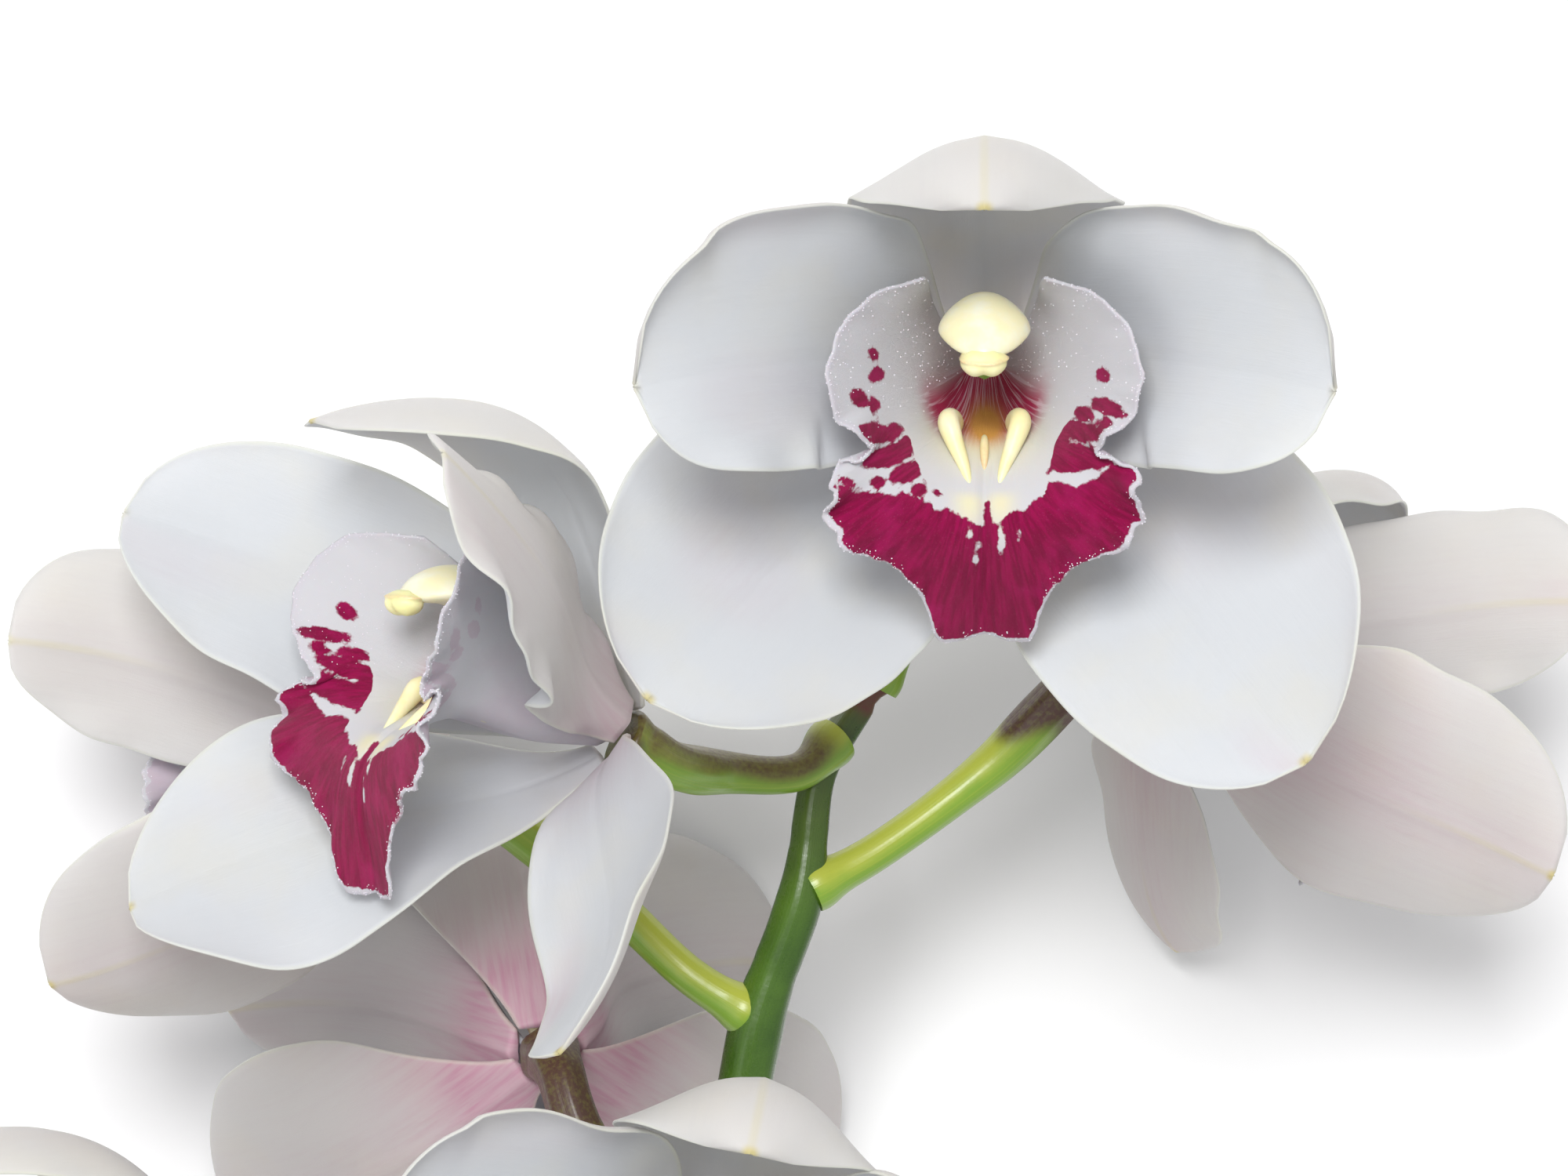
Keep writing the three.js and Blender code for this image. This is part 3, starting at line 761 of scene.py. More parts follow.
@dataclass
class Finishes:
    """Every finish of the spray, made once."""

    petal: bpy.types.Material
    sepal: bpy.types.Material
    lip: bpy.types.Material
    column: bpy.types.Material
    cap: bpy.types.Material
    crest: bpy.types.Material
    papilla: bpy.types.Material
    stalk: bpy.types.Material
    stem: bpy.types.Material
    pith: bpy.types.Material
    fibre: bpy.types.Material

    @classmethod
    def make(cls) -> "Finishes":
        """Builds them all."""
        # Each stalk finish: a painted-shade green, a painted-light green and a ripe colour.
        green_stalk = StalkFinish(
            "stalk_skin", (0.2, 0.36, 0.03), (0.42, 0.47, 0.05), (0.075, 0.03, 0.018)
        )
        green_stem = StalkFinish(
            "stem_skin", (0.028, 0.08, 0.004), (0.07, 0.16, 0.009), (0.13, 0.035, 0.02), 0.22
        )
        cap = WaxFinish("anther_cap_wax", (0.86, 0.83, 0.4), (0.9, 0.86, 0.52), (0.62, 0.3, 0.2))
        return cls(
            petal=TepalFinish("petal_flesh", creaminess=0.35, yellow_tip=0.12).make(),
            sepal=TepalFinish("sepal_flesh").make(),
            lip=LipFinish("lip_flesh").make(),
            column=WaxFinish("column_wax").make(),
            cap=cap.make(),
            crest=WaxFinish("crest_wax", (0.85, 0.78, 0.42), (0.87, 0.82, 0.55)).make(),
            papilla=FibreFinish("papilla_glass", (0.84, 0.82, 0.86), (0.8, 0.74, 0.84)).make(),
            stalk=green_stalk.make(),
            stem=green_stem.make(),
            pith=FibreFinish("stem_pith", (0.62, 0.64, 0.38), (0.5, 0.56, 0.28)).make(),
            fibre=FibreFinish("stem_fibre", (0.36, 0.3, 0.14), (0.5, 0.44, 0.22)).make(),
        )


# ---- Rule-made pieces ----------------------------------------------------------------------
@dataclass
class NodeTool:
    """A geometry node tree with named inputs, run once on a piece of mesh."""

    tree: bpy.types.NodeTree

    @classmethod
    def begin(cls, name: str, inputs: dict[str, tuple[str, object]]) -> "NodeTool":
        """Makes a tree with its inputs.

        Args:
            name: The tree's name.
            inputs: Each input's kind and first value, by name.

        Returns:
            The tool, its tree still to be filled in.
        """
        tree = bpy.data.node_groups.new(name, "GeometryNodeTree")
        shape = {"socket_type": "NodeSocketGeometry"}
        tree.interface.new_socket("Geometry", in_out="INPUT", **shape)
        tree.interface.new_socket("Geometry", in_out="OUTPUT", **shape)
        for key, (kind, value) in inputs.items():
            socket = tree.interface.new_socket(key, in_out="INPUT", socket_type=kind)
            if value is not None:
                socket.default_value = value
        return cls(tree)

    def end(self, g: Graph, geometry: Socket, look: Socket) -> None:
        """Closes the tree with realised instances and a finish."""
        real = g.add("GeometryNodeRealizeInstances", {"Geometry": geometry})
        inputs = {"Geometry": real.outputs[0], "Material": look}
        dressed = g.add("GeometryNodeSetMaterial", inputs)
        g.add("NodeGroupOutput", {0: dressed.outputs[0]})

    def run(
        self, name: str, source: bpy.types.Mesh, settings: dict[str, object]
    ) -> bpy.types.Mesh:
        """Runs the tree and keeps its result as a plain mesh.

        Args:
            name: The result's name.
            source: The mesh that the tree starts from.
            settings: The value of each named input.

        Returns:
            The result.
        """
        holder = bpy.data.objects.new(f"{name}_source", source)
        bpy.context.scene.collection.objects.link(holder)
        modifier = holder.modifiers.new(self.tree.name, "NODES")
        modifier.node_group = self.tree
        for item in self.tree.interface.items_tree:
            if item.in_out == "INPUT" and item.name in settings:
                modifier[item.identifier] = settings[item.name]
        graph = bpy.context.evaluated_depsgraph_get()
        graph.update()
        made = bpy.data.meshes.new_from_object(holder.evaluated_get(graph), depsgraph=graph)
        made.name = name
        bpy.data.objects.remove(holder)
        return made


def stalk_tool() -> NodeTool:
    """Makes the tree that skins a path: a round section of the path's own girth, with ribs.

    Returns:
        The tool.
    """
    tool = NodeTool.begin(
        "stalk_skin",
        {
            "Sides": ("NodeSocketInt", 24),
            "Ribs": ("NodeSocketFloat", 6.0),
            "Rib Depth": ("NodeSocketFloat", 0.0001),
            "Rib Start": ("NodeSocketFloat", 0.6),
            "Material": ("NodeSocketMaterial", None),
        },
    )
    g = Graph(tool.tree)
    given = g.add("NodeGroupInput").outputs
    girth = g.add("GeometryNodeInputNamedAttribute", {"Name": "girth"}, data_type="FLOAT")
    path = g.add("GeometryNodeMeshToCurve", {"Mesh": given["Geometry"]})
    inputs = {"Curve": path.outputs[0], "Radius": girth.outputs[0]}
    sized = g.add("GeometryNodeSetCurveRadius", inputs)
    inputs = {"Resolution": given["Sides"], "Radius": 1.0}
    circle = g.add("GeometryNodeCurvePrimitiveCircle", inputs)
    factor = g.add("GeometryNodeSplineParameter").outputs["Factor"]
    inputs = {"Geometry": circle.outputs[0], "Name": "round", "Value": factor}
    section = g.add("GeometryNodeStoreNamedAttribute", inputs, data_type="FLOAT", domain="POINT")
    inputs = {"Curve": sized.outputs[0], "Profile Curve": section.outputs[0], "Fill Caps": True}
    skin = g.add("GeometryNodeCurveToMesh", inputs)
    if "Scale" in skin.inputs:
        g.put(skin.inputs["Scale"], girth.outputs[0])
    turn = g.add("GeometryNodeInputNamedAttribute", {"Name": "round"}, data_type="FLOAT")
    share = g.add("GeometryNodeInputNamedAttribute", {"Name": "along"}, data_type="FLOAT")
    wave = g.math("COSINE", g.times(turn.outputs[0], given["Ribs"], math.tau))
    start = given["Rib Start"]
    limits = {"From Min": start, "From Max": g.plus(start, 0.12)}
    swell = g.add("ShaderNodeMapRange", {"Value": share.outputs[0], **limits}, clamp=True)
    depth = g.times(wave, swell.outputs["Result"], given["Rib Depth"])
    normal = g.add("GeometryNodeInputNormal").outputs[0]
    inputs = {0: normal, "Scale": depth}
    offset = g.add("ShaderNodeVectorMath", inputs, operation="SCALE").outputs[0]
    ribbed = g.add("GeometryNodeSetPosition", {"Geometry": skin.outputs[0], "Offset": offset})
    smooth = g.add("GeometryNodeSetShadeSmooth", {0: ribbed.outputs[0], "Shade Smooth": True})
    tool.end(g, smooth.outputs[0], given["Material"])
    return tool


def scatter_tool() -> NodeTool:
    """Makes the tree that scatters small rounded grains over a surface.

    Returns:
        The tool.
    """
    tool = NodeTool.begin(
        "grain_scatter",
        {
            "Density": ("NodeSocketFloat", 1.0),
            "Grain Radius": ("NodeSocketFloat", 0.0001),
            "Stretch": ("NodeSocketFloat", 1.0),
            "Seed": ("NodeSocketInt", 1),
            "Material": ("NodeSocketMaterial", None),
        },
    )
    g = Graph(tool.tree)
    given = g.add("NodeGroupInput").outputs
    share = g.add("GeometryNodeInputNamedAttribute", {"Name": "fringe"}, data_type="FLOAT")
    density = g.times(share.outputs[0], given["Density"])
    inputs = {"Mesh": given["Geometry"], "Density": density, "Seed": given["Seed"]}
    spread = g.add("GeometryNodeDistributePointsOnFaces", inputs, distribute_method="RANDOM")
    grain = g.add("GeometryNodeMeshIcoSphere", {"Radius": given["Grain Radius"], "Subdivisions": 1})
    inputs = {2: 0.55, 3: 1.25, "Seed": given["Seed"]}
    pick = g.add("FunctionNodeRandomValue", inputs, data_type="FLOAT").outputs[1]
    tall = g.times(pick, given["Stretch"])
    inputs = {
        "Points": spread.outputs["Points"],
        "Instance": grain.outputs["Mesh"],
        "Rotation": spread.outputs["Rotation"],
        "Scale": g.at(pick, pick, tall),
    }
    placed = g.add("GeometryNodeInstanceOnPoints", inputs)
    real = g.add("GeometryNodeRealizeInstances", {"Geometry": placed.outputs[0]})
    smooth = g.add("GeometryNodeSetShadeSmooth", {0: real.outputs[0], "Shade Smooth": True})
    tool.end(g, smooth.outputs[0], given["Material"])
    return tool


@dataclass
class Workshop:
    """What every sub-assembly needs: the finishes, the node tools and the spray's place."""

    looks: Finishes
    stalks: NodeTool
    grains: NodeTool
    shift: Array

    def add(
        self, name: str, skin: Skin, look: bpy.types.Material, slot: Slot, *nodes: str
    ) -> bpy.types.Object:
        """Makes a skin a finished piece.

        Args:
            name: The piece's name.
            skin: Its closed body.
            look: Its finish.
            slot: The finish that it belongs to.
            *nodes: The frame's nodes that it stands for.

        Returns:
            The piece.
        """
        return settle(shown(name, mesh_of(name, skin, self.shift), look), slot, *nodes)


# ---- Petals and sepals ---------------------------------------------------------------------
@dataclass(frozen=True)
class Pleat:
    """A short crease that runs in from a blade's margin."""

    half: int
    place: float
    height: float
    width: float = 0.05


@dataclass(frozen=True)
class Blade:
    """One petal or sepal, drawn for the flower's left side.

    The first of each pair is the anticlockwise half, as seen from the front.
    """

    clock: float
    length: float
    rise: Keys
    half: tuple[float, float]
    cup: tuple[Keys, Keys]
    widest: float
    belly: float
    foot: float
    sway: float = 0.0
    lift: float = 0.0
    twist: Keys = (0.0, 0.0)
    roll: tuple[Keys, Keys] = ((0.0, 0.0), (0.0, 0.0))
    roll_from: float = 0.74
    ripple: tuple[float, float] = (0.4, 0.4)
    waves: float = 3.0
    unevenness: float = 0.35
    pleats: tuple[Pleat, ...] = ()
    blunt: float = 2.4
    blush_foot: float = 0.1
    blush_back: float = 0.25
    blush_face: float = 0.12
    thickness: float = 0.95
    rows: int = 66
    columns: int = 40

    def half_width(self, side: int, s: Array) -> Array:
        """Half the blade's width on one side at each s."""
        half = self.half[side]
        narrow = self.foot / half
        swell = np.sin(np.minimum(s / self.widest, 1) * (math.pi / 2)) ** self.belly
        rising = narrow + (1 - narrow) * swell
        fall = np.clip((s - self.widest) / (1 - self.widest), 0, 1)
        falling = 0.035 + 0.965 * np.sqrt(np.maximum(0, 1 - fall**self.blunt))
        return half * np.where(s < self.widest, rising, falling)

    def midrib(self, radius: float) -> tuple[Array, Array, Array]:
        """Follows the midrib.

        Args:
            radius: How far from the flower's middle the blade sets out.

        Returns:
            Its places, and the ways across and out of the face there.
        """
        fine = 3
        s = np.linspace(0, 1, self.rows * fine + 1)
        clock = np.radians(self.clock + self.sway * s**1.5)
        rise = np.radians(along(self.rise, s))
        outward = np.stack([np.cos(clock), np.sin(clock), np.zeros_like(s)], -1)
        forward = np.array([0.0, 0.0, 1.0])
        heading = outward * np.cos(rise)[:, None] + forward * np.sin(rise)[:, None]
        face = forward * np.cos(rise)[:, None] - outward * np.sin(rise)[:, None]
        start = math.radians(self.clock)
        first = np.array([math.cos(start) * radius, math.sin(start) * radius, self.lift])
        steps = (heading[1:] + heading[:-1]) * (self.length / (self.rows * fine) / 2)
        place = np.concatenate([first[None], first + np.cumsum(steps, axis=0)])
        roll = np.radians(along(self.twist, s))[:, None]
        across = np.cross(heading, face)
        rolled = across * np.cos(roll) + face * np.sin(roll)
        face = face * np.cos(roll) - across * np.sin(roll)
        return place[::fine], rolled[::fine], face[::fine]

    def skin(self, hand: Hand, radius: float, seed: int) -> Skin:
        """Builds the blade in its flower's frame.

        Args:
            hand: The side of the flower.
            radius: How far from the flower's middle it sets out.
            seed: Fixes its unevenness.

        Returns:
            Its closed body.
        """
        s = np.linspace(0, 1, self.rows + 1)
        place, across, face = self.midrib(radius)
        t = np.linspace(-1, 1, self.columns + 1)
        middle = self.columns // 2
        run = np.zeros((len(s), len(t)))
        swell = np.zeros_like(run)
        rng = np.random.default_rng(seed)
        for side, sign in ((0, -1), (1, 1)):
            reach = np.linspace(0, 1, middle + 1)
            half = self.half_width(side, s) * (1 + 0.012 * rolling(s, 0 * s, seed + side, 5))
            turn = along(self.cup[side], s)[:, None] * reach[None]
            curl = np.maximum(reach - self.roll_from, 0) / (1 - self.roll_from)
            turn = np.radians(turn + along(self.roll[side], s)[:, None] * curl[None] ** 2)
            width = half[:, None] / middle
            out = np.cumsum((np.cos(turn[:, 1:]) + np.cos(turn[:, :-1])) / 2 * width, axis=1)
            up = np.cumsum((np.sin(turn[:, 1:]) + np.sin(turn[:, :-1])) / 2 * width, axis=1)
            cells = slice(middle + 1, None) if sign > 0 else slice(middle - 1, None, -1)
            run[:, cells], swell[:, cells] = sign * out, up
        grid = place[:, None] + across[:, None] * run[..., None] + face[:, None] * swell[..., None]
        side = (t > 0).astype(int)[None]
        edge = np.abs(t)[None]
        half = np.where(side == 1, self.half_width(1, s)[:, None], self.half_width(0, s)[:, None])
        taper = np.sin(math.pi * np.clip(s, 0, 1)) ** 0.6
        phase = rng.uniform(0, math.tau, 4)
        height = np.zeros_like(run)
        for n in (0, 1):
            beat = np.sin(math.tau * self.waves * s + phase[n])
            beat = beat + 0.55 * np.sin(math.tau * self.waves * 1.73 * s + phase[n + 2])
            wave = self.ripple[n] * beat * taper
            height += np.where(side == n, wave[:, None] * ease(edge, 0.5, 1.0) ** 1.3, 0)
        height += self.unevenness * rolling(s[:, None], t[None], seed + 9, 1.5) * taper[:, None]
        for pleat in self.pleats:
            away = (s[:, None] - pleat.place + 0.05 * (1 - edge)) / pleat.width
            fold = np.where(away > 0, np.exp(-away * 0.45), -np.exp(away * 0.9) * 0.6)
            fold = fold * np.tanh(np.abs(away) * 3)
            height += np.where(side == pleat.half, fold * pleat.height * ease(edge, 0.42, 1.0), 0)
        grid = grid + normals_of(grid) * height[..., None]
        thick = self.thickness * (1 - 0.62 * edge**2.4) * (1 + 0.6 * (1 - s[:, None]) ** 4)
        thick = thick * (1 - 0.35 * ease(s, 0.85, 1.0)[:, None])
        fade = (1 - 0.55 * s)[:, None] * ease(1 - s, 0, 0.06)[:, None]
        front = thick / 2 - 0.2 * hump(run, 0, 0.7) * fade
        back = thick / 2 + 0.42 * hump(run, 0, 1.0) * fade
        sides = rolling(s[:, None], t[None], seed + 21, 1.3)
        foot = self.blush_foot * hump(s, 0, 0.2)[:, None]
        face_blush = self.blush_face * ease(sides, 0.1, 1.0) * ease(s, 0.2, 0.8)[:, None]
        values = {
            "along": s[:, None],
            "from_rib": run,
            "from_rim": np.minimum((1 - edge) * half, (1 - s[:, None]) * self.length),
            "blush": np.clip(foot + face_blush, 0, 1),
        }
        skin = shell(grid, front, back, values)
        skin.points = skin.points * np.array([hand.value, 1, 1])
        skin = skin.outward()
        back_blush = self.blush_back * (0.35 + 0.65 * hump(skin.values["from_rib"], 0, 8))
        back_blush = back_blush * (0.5 + 0.7 * hump(skin.values["along"], 0.1, 0.5))
        skin.values["blush"] = np.clip(
            skin.values["blush"] + skin.values["outside"] * back_blush, 0, 1
        )
        return skin


PETAL = Blade(
    clock=175, sway=20, length=64, rise=(60, 65, 42, 29), twist=(0, 3, 6, 12),
    half=(13.8, 20.5), widest=0.58, belly=1.2, foot=3.2, lift=1.8,
    cup=((4, 8, 20, 24), (12, 26, 37, 37)),
    roll=((0, 0, -6, 8, 10), (0, 50, 80, 60, 30)), ripple=(0.75, 0.55), waves=2.6,
    pleats=(Pleat(0, 0.58, 1.6, 0.045), Pleat(1, 0.86, 0.7, 0.05)), blush_back=0.16,
    blush_face=0.08, unevenness=0.9,
)
BROAD_PETAL = replace(PETAL, half=(13.8, 22.2), blunt=4.2, unevenness=1.2)
LATERAL = Blade(
    clock=223, sway=5, length=65.5, rise=(22, 29, 36, 32), twist=(0, 1, -1, -2),
    half=(21.6, 23), widest=0.52, belly=1.35, foot=3.1,
    cup=((15, 14, 16, 28), (20, 20, 17, 29)), ripple=(0.3, 0.3), waves=2.2,
    roll=((0, 0, 5, 10, 16), (0, 0, 6, 12, 18)), thickness=1.0,
)
HOOD = Blade(
    clock=90, length=62.5, rise=(42, 47, 63, 96, 163), half=(19.2, 19.2), widest=0.62,
    belly=1.35, foot=4, lift=-0.3, cup=((20, 26, 66, 72), (20, 26, 66, 72)),
    roll=((0, 0, -22, -42, -38), (0, 0, -22, -42, -38)), roll_from=0.3,
    ripple=(0.35, 0.35), waves=2.4, blush_back=0.1, blush_face=0.05, unevenness=0.45,
)


# ---- Lip -----------------------------------------------------------------------------------
@dataclass(frozen=True)
class Spot:
    """An oval mark on the lip, as seen from the front."""

    x: float
    y: float
    long: float
    short: float
    lean: float = 0.0

    def depth(self, x: Array, y: Array) -> Array:
        """How far each place is inside the mark, in millimetres, negative outside it."""
        turn = math.radians(self.lean)
        u = (x - self.x) * math.cos(turn) + (y - self.y) * math.sin(turn)
        v = -(x - self.x) * math.sin(turn) + (y - self.y) * math.cos(turn)
        far = np.sqrt((u / self.long) ** 2 + (v / self.short) ** 2)
        return (1 - far) * min(self.long, self.short)


@dataclass(frozen=True)
class LipMarks:
    """The wine-red markings: loose spots, a solid lower lobe, a midline and white gaps."""

    spots: tuple[Spot, ...] = (
        Spot(-14.3, 1.5, 0.8, 0.55, 90), Spot(-14.0, -1.35, 1.05, 0.9, 60),
        Spot(-16.1, -4.2, 1.3, 0.85, -60), Spot(-14.3, -5.2, 1.0, 0.6, 90),
        Spot(-15.5, -8.7, 2.1, 0.75, 35), Spot(-12.7, -8.8, 2.2, 1.0, 15),
        Spot(-10.2, -10.0, 0.9, 0.8), Spot(-12.5, -11.6, 3.3, 1.35, 15),
        Spot(-10.1, -13.8, 2.1, 1.2, 22), Spot(-8.2, -10.8, 0.8, 0.6),
        Spot(-6.4, -12.9, 0.9, 0.7, 90), Spot(-6.5, -14.5, 1.2, 0.85),
        Spot(-8.5, -16.0, 0.95, 0.8), Spot(-6.1, -16.4, 0.6, 0.45),
        Spot(-13.7, -14.9, 1.0, 0.8), Spot(-17.6, -14.7, 1.2, 0.4, -25),
        Spot(-7.9, -5.0, 2.4, 0.6, 90), Spot(15.2, -1.4, 0.95, 0.8, 90),
        Spot(15.9, -5.6, 2.1, 0.95, -25), Spot(12.9, -6.5, 1.15, 0.85, -30),
        Spot(15.3, -7.5, 0.8, 0.6, -20), Spot(12.1, -8.5, 3.1, 1.2, -8),
        Spot(9.4, -10.4, 2.1, 1.5, 60), Spot(11.1, -11.9, 4.3, 1.8, 5),
        Spot(7.6, -11.1, 0.9, 0.8), Spot(7.6, -13.3, 1.1, 0.9),
        Spot(15.0, -12.3, 1.6, 0.7, 20), Spot(8.8, -3.7, 1.0, 0.4, 90),
    )
    gaps: tuple[Spot, ...] = (
        Spot(-1.9, -21.4, 0.75, 0.5, 90), Spot(-1.2, -24.4, 1.1, 0.45, 90),
        Spot(2.2, -22.3, 1.9, 0.55, 90), Spot(-0.8, -22.8, 0.5, 0.4),
        Spot(4.4, -21.5, 0.8, 0.25, 90),
    )
    shore: tuple[tuple[float, float], ...] = (
        (-22, -15.0), (-18, -15.5), (-16.6, -16.1), (-14, -16.2), (-11.7, -16.7), (-10.4, -16.3),
        (-8.4, -17.3), (-6.9, -17.8), (-6.4, -18.7), (-5.1, -18.4), (-3.4, -19.2), (-2.1, -19.9),
        (-0.3, -20.6), (1.5, -20.5), (3, -19.2), (4.1, -18.6), (5.1, -18.8), (6.4, -17.5),
        (7.8, -16.9), (8.1, -15.3), (9.7, -15.0), (11.7, -15.8), (13, -15.1), (15, -13.9),
        (16.4, -12.7), (22, -12.2),
    )
    mirrored: bool = False

    def depth(self, x: Array, y: Array) -> Array:
        """How far each place is inside the markings.

        Args:
            x: Places across the lip.
            y: Places up the lip.

        Returns:
            Depths in millimetres, negative where the lip is white.
        """
        x = -x if self.mirrored else x
        shore = np.array(self.shore)
        inside = (np.interp(x, shore[:, 0], shore[:, 1]) - y) * 0.85
        for spot in self.spots:
            inside = np.maximum(inside, spot.depth(x, y))
        for gap in self.gaps:
            inside = np.minimum(inside, -gap.depth(x, y))
        middle = 0.1 + 0.04 * (-11.4 - y)
        vein = np.minimum(0.42 - np.abs(x - middle), (-11.2 - y) * 0.6)
        return np.maximum(inside, vein)


@dataclass(frozen=True)
class Lip:
    """The lip: a fan of rays from behind its mouth, along the throat and out to a frilled rim.

    Each station lists turn, across, up and forward; turn is 0 down the midline and 1 at a side
    lobe's upper edge.
    """

    foot: tuple[Keys, ...] = ((0, 0, -2.5, 2.2), (0.5, 1.9, -1.4, 2.2), (1, 2.9, 0.8, 2.2))
    throat: tuple[Keys, ...] = (
        (0, 0, -6.6, 12), (0.4, 2.4, -6.2, 12), (0.7, 4.4, -3.6, 11), (1, 4.9, 3.6, 10),
    )
    mouth: tuple[Keys, ...] = (
        (0, 0, -10, 26), (0.35, 4, -10, 26), (0.6, 7, -8, 26), (0.8, 8.4, -3, 25),
        (0.9, 8, 3, 23), (1, 6.9, 7.8, 20),
    )
    shoulder: tuple[Keys, ...] = (
        (0, 0, -20.5, 32.5), (0.2, 5, -19.5, 33), (0.35, 9.5, -16, 33.5),
        (0.6, 11.2, -9.5, 33), (0.8, 14.2, -2.2, 35), (0.9, 12.4, 5, 34), (1, 7.3, 10.2, 30),
    )
    margin: tuple[Keys, ...] = (
        (0, 0, -34.6, 23), (0.05, 3, -35.3, 23.4), (0.09, 5.6, -35.5, 24.2),
        (0.115, 6.6, -34, 25.7), (0.15, 7.2, -31.5, 27.5), (0.2, 9.2, -27.8, 30),
        (0.27, 13, -24.8, 32.6), (0.33, 17, -23.7, 34.4), (0.36, 18.3, -22.6, 35.1),
        (0.43, 19.3, -20.3, 36.1), (0.5, 19.6, -17.8, 37), (0.56, 19.3, -14.2, 37.9),
        (0.6, 17.4, -12.6, 37.9), (0.65, 13.9, -11.4, 37.5), (0.7, 15.9, -9.2, 39.2),
        (0.75, 18.3, -6.6, 40.9), (0.82, 19.7, -0.5, 42.5), (0.91, 15.5, 7.6, 41),
        (1, 7.6, 10.9, 35),
    )
    marks: LipMarks = LipMarks()
    frill: float = 0.75
    thickness: float = 0.85
    half_turns: int = 96
    rows: int = 66

    def surface(self, seed: int) -> tuple[Array, Array, Array]:
        """Lays out the lip's middle surface.

        Args:
            seed: Fixes the frill.

        Returns:
            Its points by turn and row, its turns, and each point's distance from the rim.
        """
        turns = np.linspace(-1, 1, 2 * self.half_turns + 1)
        stations = (self.foot, self.throat, self.mouth, self.shoulder, self.margin)
        fans = [through(np.array(rows, float), np.abs(turns)) for rows in stations]
        pace = np.concatenate([np.linspace(0, 0.45, 15)[:-1], np.linspace(0.45, 1, self.rows - 13)])
        grid = smooth_line(np.stack(fans, axis=1), pace)
        grid[..., 0] *= np.where(turns < 0, -1, 1)[:, None]
        steps = np.linalg.norm(np.diff(grid, axis=1), axis=-1)
        from_rim = np.concatenate([np.cumsum(steps[:, ::-1], axis=1)[:, ::-1],
                                   np.zeros((len(turns), 1))], axis=1)
        rim = grid[:, -1]
        reach = np.concatenate([[0], np.cumsum(np.linalg.norm(np.diff(rim, axis=0), axis=1))])
        rng = np.random.default_rng(seed)
        wave = np.zeros(len(turns))
        nick = np.zeros(len(turns))
        for period, size in ((11.0, 0.8), (6.3, 0.7), (3.4, 0.4)):
            wave += size * np.sin(math.tau * reach / (period * rng.uniform(0.9, 1.1))
                                  + rng.uniform(0, math.tau))
            nick += size * np.sin(math.tau * reach / (period * 0.45) + rng.uniform(0, math.tau))
        quiet = 1 - 0.75 * hump(turns, 0, 0.07)
        calm = ease(1 - np.abs(turns), 0, 0.06)
        near = np.exp(-((from_rim / 3.2) ** 2))
        ears = hump(np.abs(turns), 0.5, 0.2) + 0.25
        lift = self.frill * (wave * quiet * calm * ears)[:, None] * near
        outward = unit(grid[:, -1] - grid[:, -3])
        push = (0.26 * nick * calm * ears)[:, None] * near
        grid = grid + normals_of(grid) * lift[..., None]
        grid = grid + outward[:, None] * push[..., None]
        return grid, turns, from_rim

    def skin(self, seed: int) -> Skin:
        """Builds the lip in its flower's frame, with its markings as named values.

        Args:
            seed: Fixes the frill.

        Returns:
            Its closed body.
        """
        grid, turns, rim = self.surface(seed)
        x, y, z = (grid[..., k] for k in range(3))
        share = np.broadcast_to(np.linspace(0, 1, grid.shape[1])[None], x.shape)
        inside = self.marks.depth(x, y)
        front_part = ease(share, 0.5, 0.56)
        wine = inside * front_part - 3.0 * (1 - front_part)
        band = 1 - 0.95 * hump(np.abs(turns), 0.24, 0.08)[:, None]
        picotee = rim - band * (0.6 + 0.35 * rolling(turns[:, None] * 3, 0 * x, seed + 3, 3.0))
        wine = np.minimum(wine, picotee * 1.2)
        low = 1 - ease(y, -2.0, 4.5)
        throat = (1 - ease(share, 0.46, 0.54)) * low * (1 - ease(z, 22, 28))
        throat = throat * (1 - ease(np.abs(turns), 0.7, 0.88))[:, None]
        ochre = 1.5 * hump(x, 0.2, 2.3) * hump(y, -8.2, 2.6) * (1 - ease(z, 25, 29))
        cream = 0.75 * hump(np.abs(x), 2.0, 1.9) * hump(y, -17.5, 3.2) * front_part
        cream = cream + 0.75 * hump(x, 0, 6.5) * hump(y, -9.5, 4.0) * ease(z, 22, 27)
        values = {
            "wine": wine,
            "from_rim": rim,
            "turn": np.broadcast_to(turns[:, None], x.shape),
            "along": share,
            "throat": np.clip(throat, 0, 1),
            "ochre": np.clip(ochre, 0, 1),
            "cream": np.clip(cream, 0, 1),
        }
        thick = self.thickness * (1 - 0.5 * np.exp(-rim / 2.5))
        groove = 0.35 * hump(x, 0, 0.8) * ease(z, 22, 30)
        skin = shell(grid, thick / 2 - groove, thick / 2 + groove * 0.4, values)
        edge = np.exp(-((skin.values["from_rim"] / 0.7) ** 2))
        lobes = 0.08 * ease(np.abs(skin.values["turn"]), 0.6, 0.8) * (1 - skin.values["outside"])
        fringe = np.where(skin.values["throat"] > 0.5, 0, edge + lobes)
        skin.values["fringe"] = np.clip(fringe, 0, 1)
        return skin

    def floor(self, x: float, share: float) -> Array:
        """A place on the lip's inner face near its midline, at a share of its way forward."""
        turns = np.linspace(0, 0.6, 61)
        stations = (self.foot, self.throat, self.mouth, self.shoulder, self.margin)
        fans = [through(np.array(rows, float), turns) for rows in stations]
        line = smooth_line(np.stack(fans, axis=1), np.array([share]))[:, 0]
        near = np.array([np.interp(abs(x), line[:, 0], line[:, k]) for k in (1, 2)])
        return np.array([x, *near])


